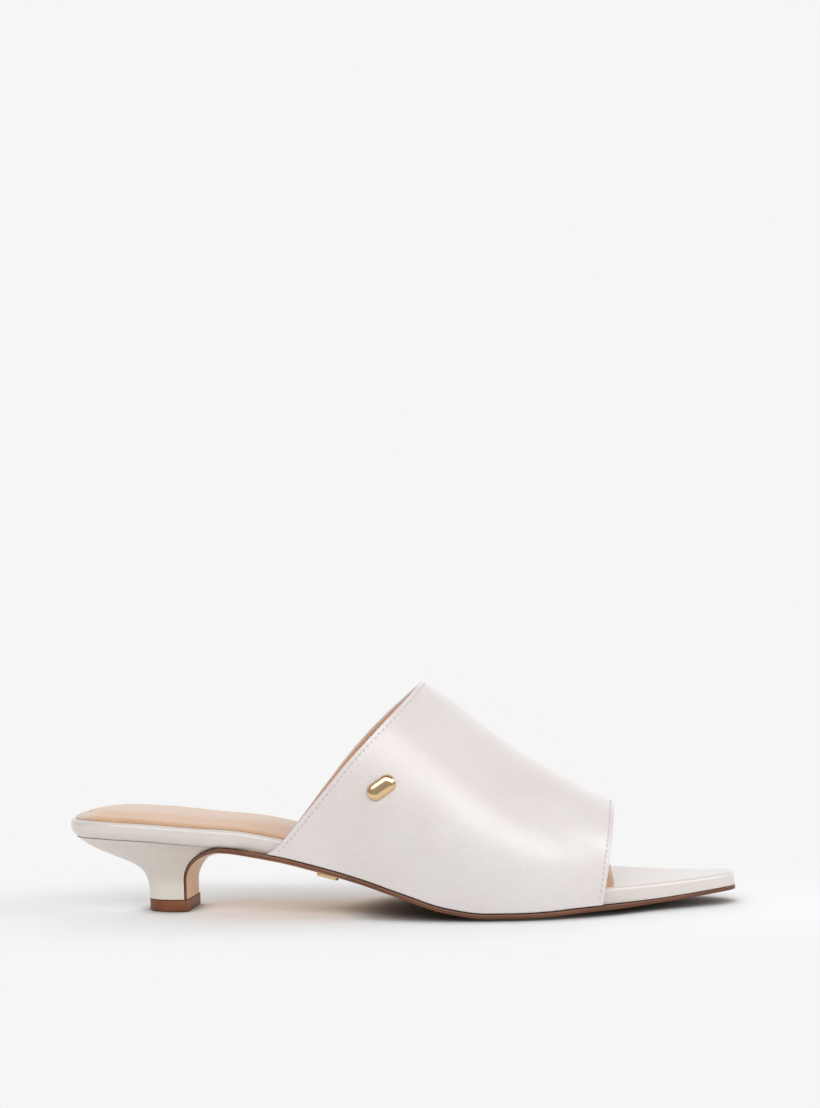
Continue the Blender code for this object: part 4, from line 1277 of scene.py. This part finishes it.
# the fade is an oval, three times as long as it is wide
where = node(made, "ShaderNodeTexCoord").outputs["Object"]
oval = node(made, "ShaderNodeMapping", {"Scale": (0.35, 1, 1)}, {"Vector": where})
away = node(made, "ShaderNodeVectorMath", operation="LENGTH",
            links={"Vector": oval.outputs["Vector"]})
far = ramp(made, away.outputs["Value"], FADE_FROM, FADE_TO)
glow = node(made, "ShaderNodeEmission", {"Color": colour(BACKGROUND), "Strength": 1.0})
paper = node(made, "ShaderNodeMixShader")
made.node_tree.links.new(far, paper.inputs[0])
made.node_tree.links.new(shader.outputs[0], paper.inputs[1])
made.node_tree.links.new(glow.outputs[0], paper.inputs[2])
made.node_tree.links.new(paper.outputs[0],
                         made.node_tree.nodes["Material Output"].inputs["Surface"])
bm = bmesh.new()
bmesh.ops.create_grid(bm, x_segments=8, y_segments=8, size=FLOOR_SIZE)
floor = finish_mesh("floor", bm, [made], sharp=None)

# %% Light
ROOM, EYE_LEVEL = "#adadad", "#a8a8a8"
world = bpy.data.worlds.new("white_tent")
world.use_nodes = True
sky = world.node_tree.nodes["Background"]
sky.inputs["Strength"].default_value = 1.0
toward = node(world, "ShaderNodeTexCoord").outputs["Generated"]
toward = node(world, "ShaderNodeSeparateXYZ", links={"Vector": toward})
# the camera sees a bright backdrop all round, but little light comes from eye level, so that the
# shadow under the shoe stays dark, and the room behind the camera is dim
seen = node(world, "ShaderNodeLightPath").outputs["Is Camera Ray"]
behind = ramp(world, toward.outputs["Y"], -0.5, 0.4)
open_sky = node(world, "ShaderNodeMath", operation="MAXIMUM")
world.node_tree.links.new(ramp(world, toward.outputs["Z"], 0.0, 0.45), open_sky.inputs[0])
world.node_tree.links.new(ramp(world, toward.outputs["Y"], 0.2, 0.8), open_sky.inputs[1])
lit = mix(world, behind, colour(ROOM), colour(BACKGROUND))
lit = mix(world, open_sky.outputs[0], colour(EYE_LEVEL), lit)
link(world, mix(world, seen, lit, colour(BACKGROUND)), sky, "Color")
link(world, ramp(world, toward.outputs["Z"], 0.35, 1.0, 1.0, 0.62), sky, "Strength")
bpy.context.scene.world = world


def lamp(name, spot, target, size, power, roll=0.0, mirrored=True, tint="#ffffff"):
    light = bpy.data.lights.new(name, "AREA")
    light.shape = "RECTANGLE"
    light.size, light.size_y = size
    light.energy = power
    light.color = colour(tint)[:3]
    placed = bpy.data.objects.new(name, light)
    placed.location = spot
    aim = (Vector(target) - Vector(spot)).to_track_quat("-Z", "Y").to_matrix()
    placed.rotation_euler = (aim @ Matrix.Rotation(math.radians(roll), 3, "Z")).to_euler()
    placed.visible_camera = False
    placed.visible_glossy = mirrored
    bpy.context.scene.collection.objects.link(placed)


# place and target in metres, size in metres, power in watts; the key is a little cool
lamp("key_softbox", (0.07, -0.90, 0.74), (0.01, 0, 0.04), (1.64, 0.50), 8.6, roll=-9,
     tint="#f9fcff")
lamp("toe_side_fill", (0.80, -0.20, 0.62), (0, 0, 0.02), (0.5, 0.4), 2.3)
lamp("rear_glow", (0.05, 0.85, 0.22), (0, 0, 0.02), (1.6, 0.3), 0.2)
lamp("rear_fill", (0.05, 1.60, 0.90), (0, 0, 0.0), (2.4, 0.8), 10.0, mirrored=False)

# %% Camera
# The camera was solved from the shoe's outline in the picture. It stands 0.8 m away and 0.12 m
# above the floor, is turned 7.5 degrees towards the heel from a place beside the toe, looks
# almost level and is rolled by less than 2 degrees. The shoe sits low in the frame.
YAW, PITCH, ROLL = math.radians(7.54), math.radians(0.73), math.radians(-1.78)
CAMERA_SPOT = (0.1122, -0.7872, 0.1228)
LENS, SENSOR = 68.1, 36
look = Vector((-math.sin(YAW) * math.cos(PITCH), math.cos(YAW) * math.cos(PITCH),
               math.sin(PITCH)))
right = look.cross(Vector((0, 0, 1))).normalized()
up = right.cross(look)
c, q = math.cos(ROLL), math.sin(ROLL)
right, up = right * c + up * q, up * c - right * q
lens = bpy.data.cameras.new("camera")
lens.sensor_width = SENSOR
lens.lens = LENS
camera = bpy.data.objects.new("camera", lens)
axes = Matrix((right, up, -look)).transposed().to_4x4()
camera.matrix_world = Matrix.Translation(CAMERA_SPOT) @ axes
bpy.context.scene.collection.objects.link(camera)
bpy.context.scene.camera = camera
bpy.context.scene.view_settings.view_transform = "Standard"
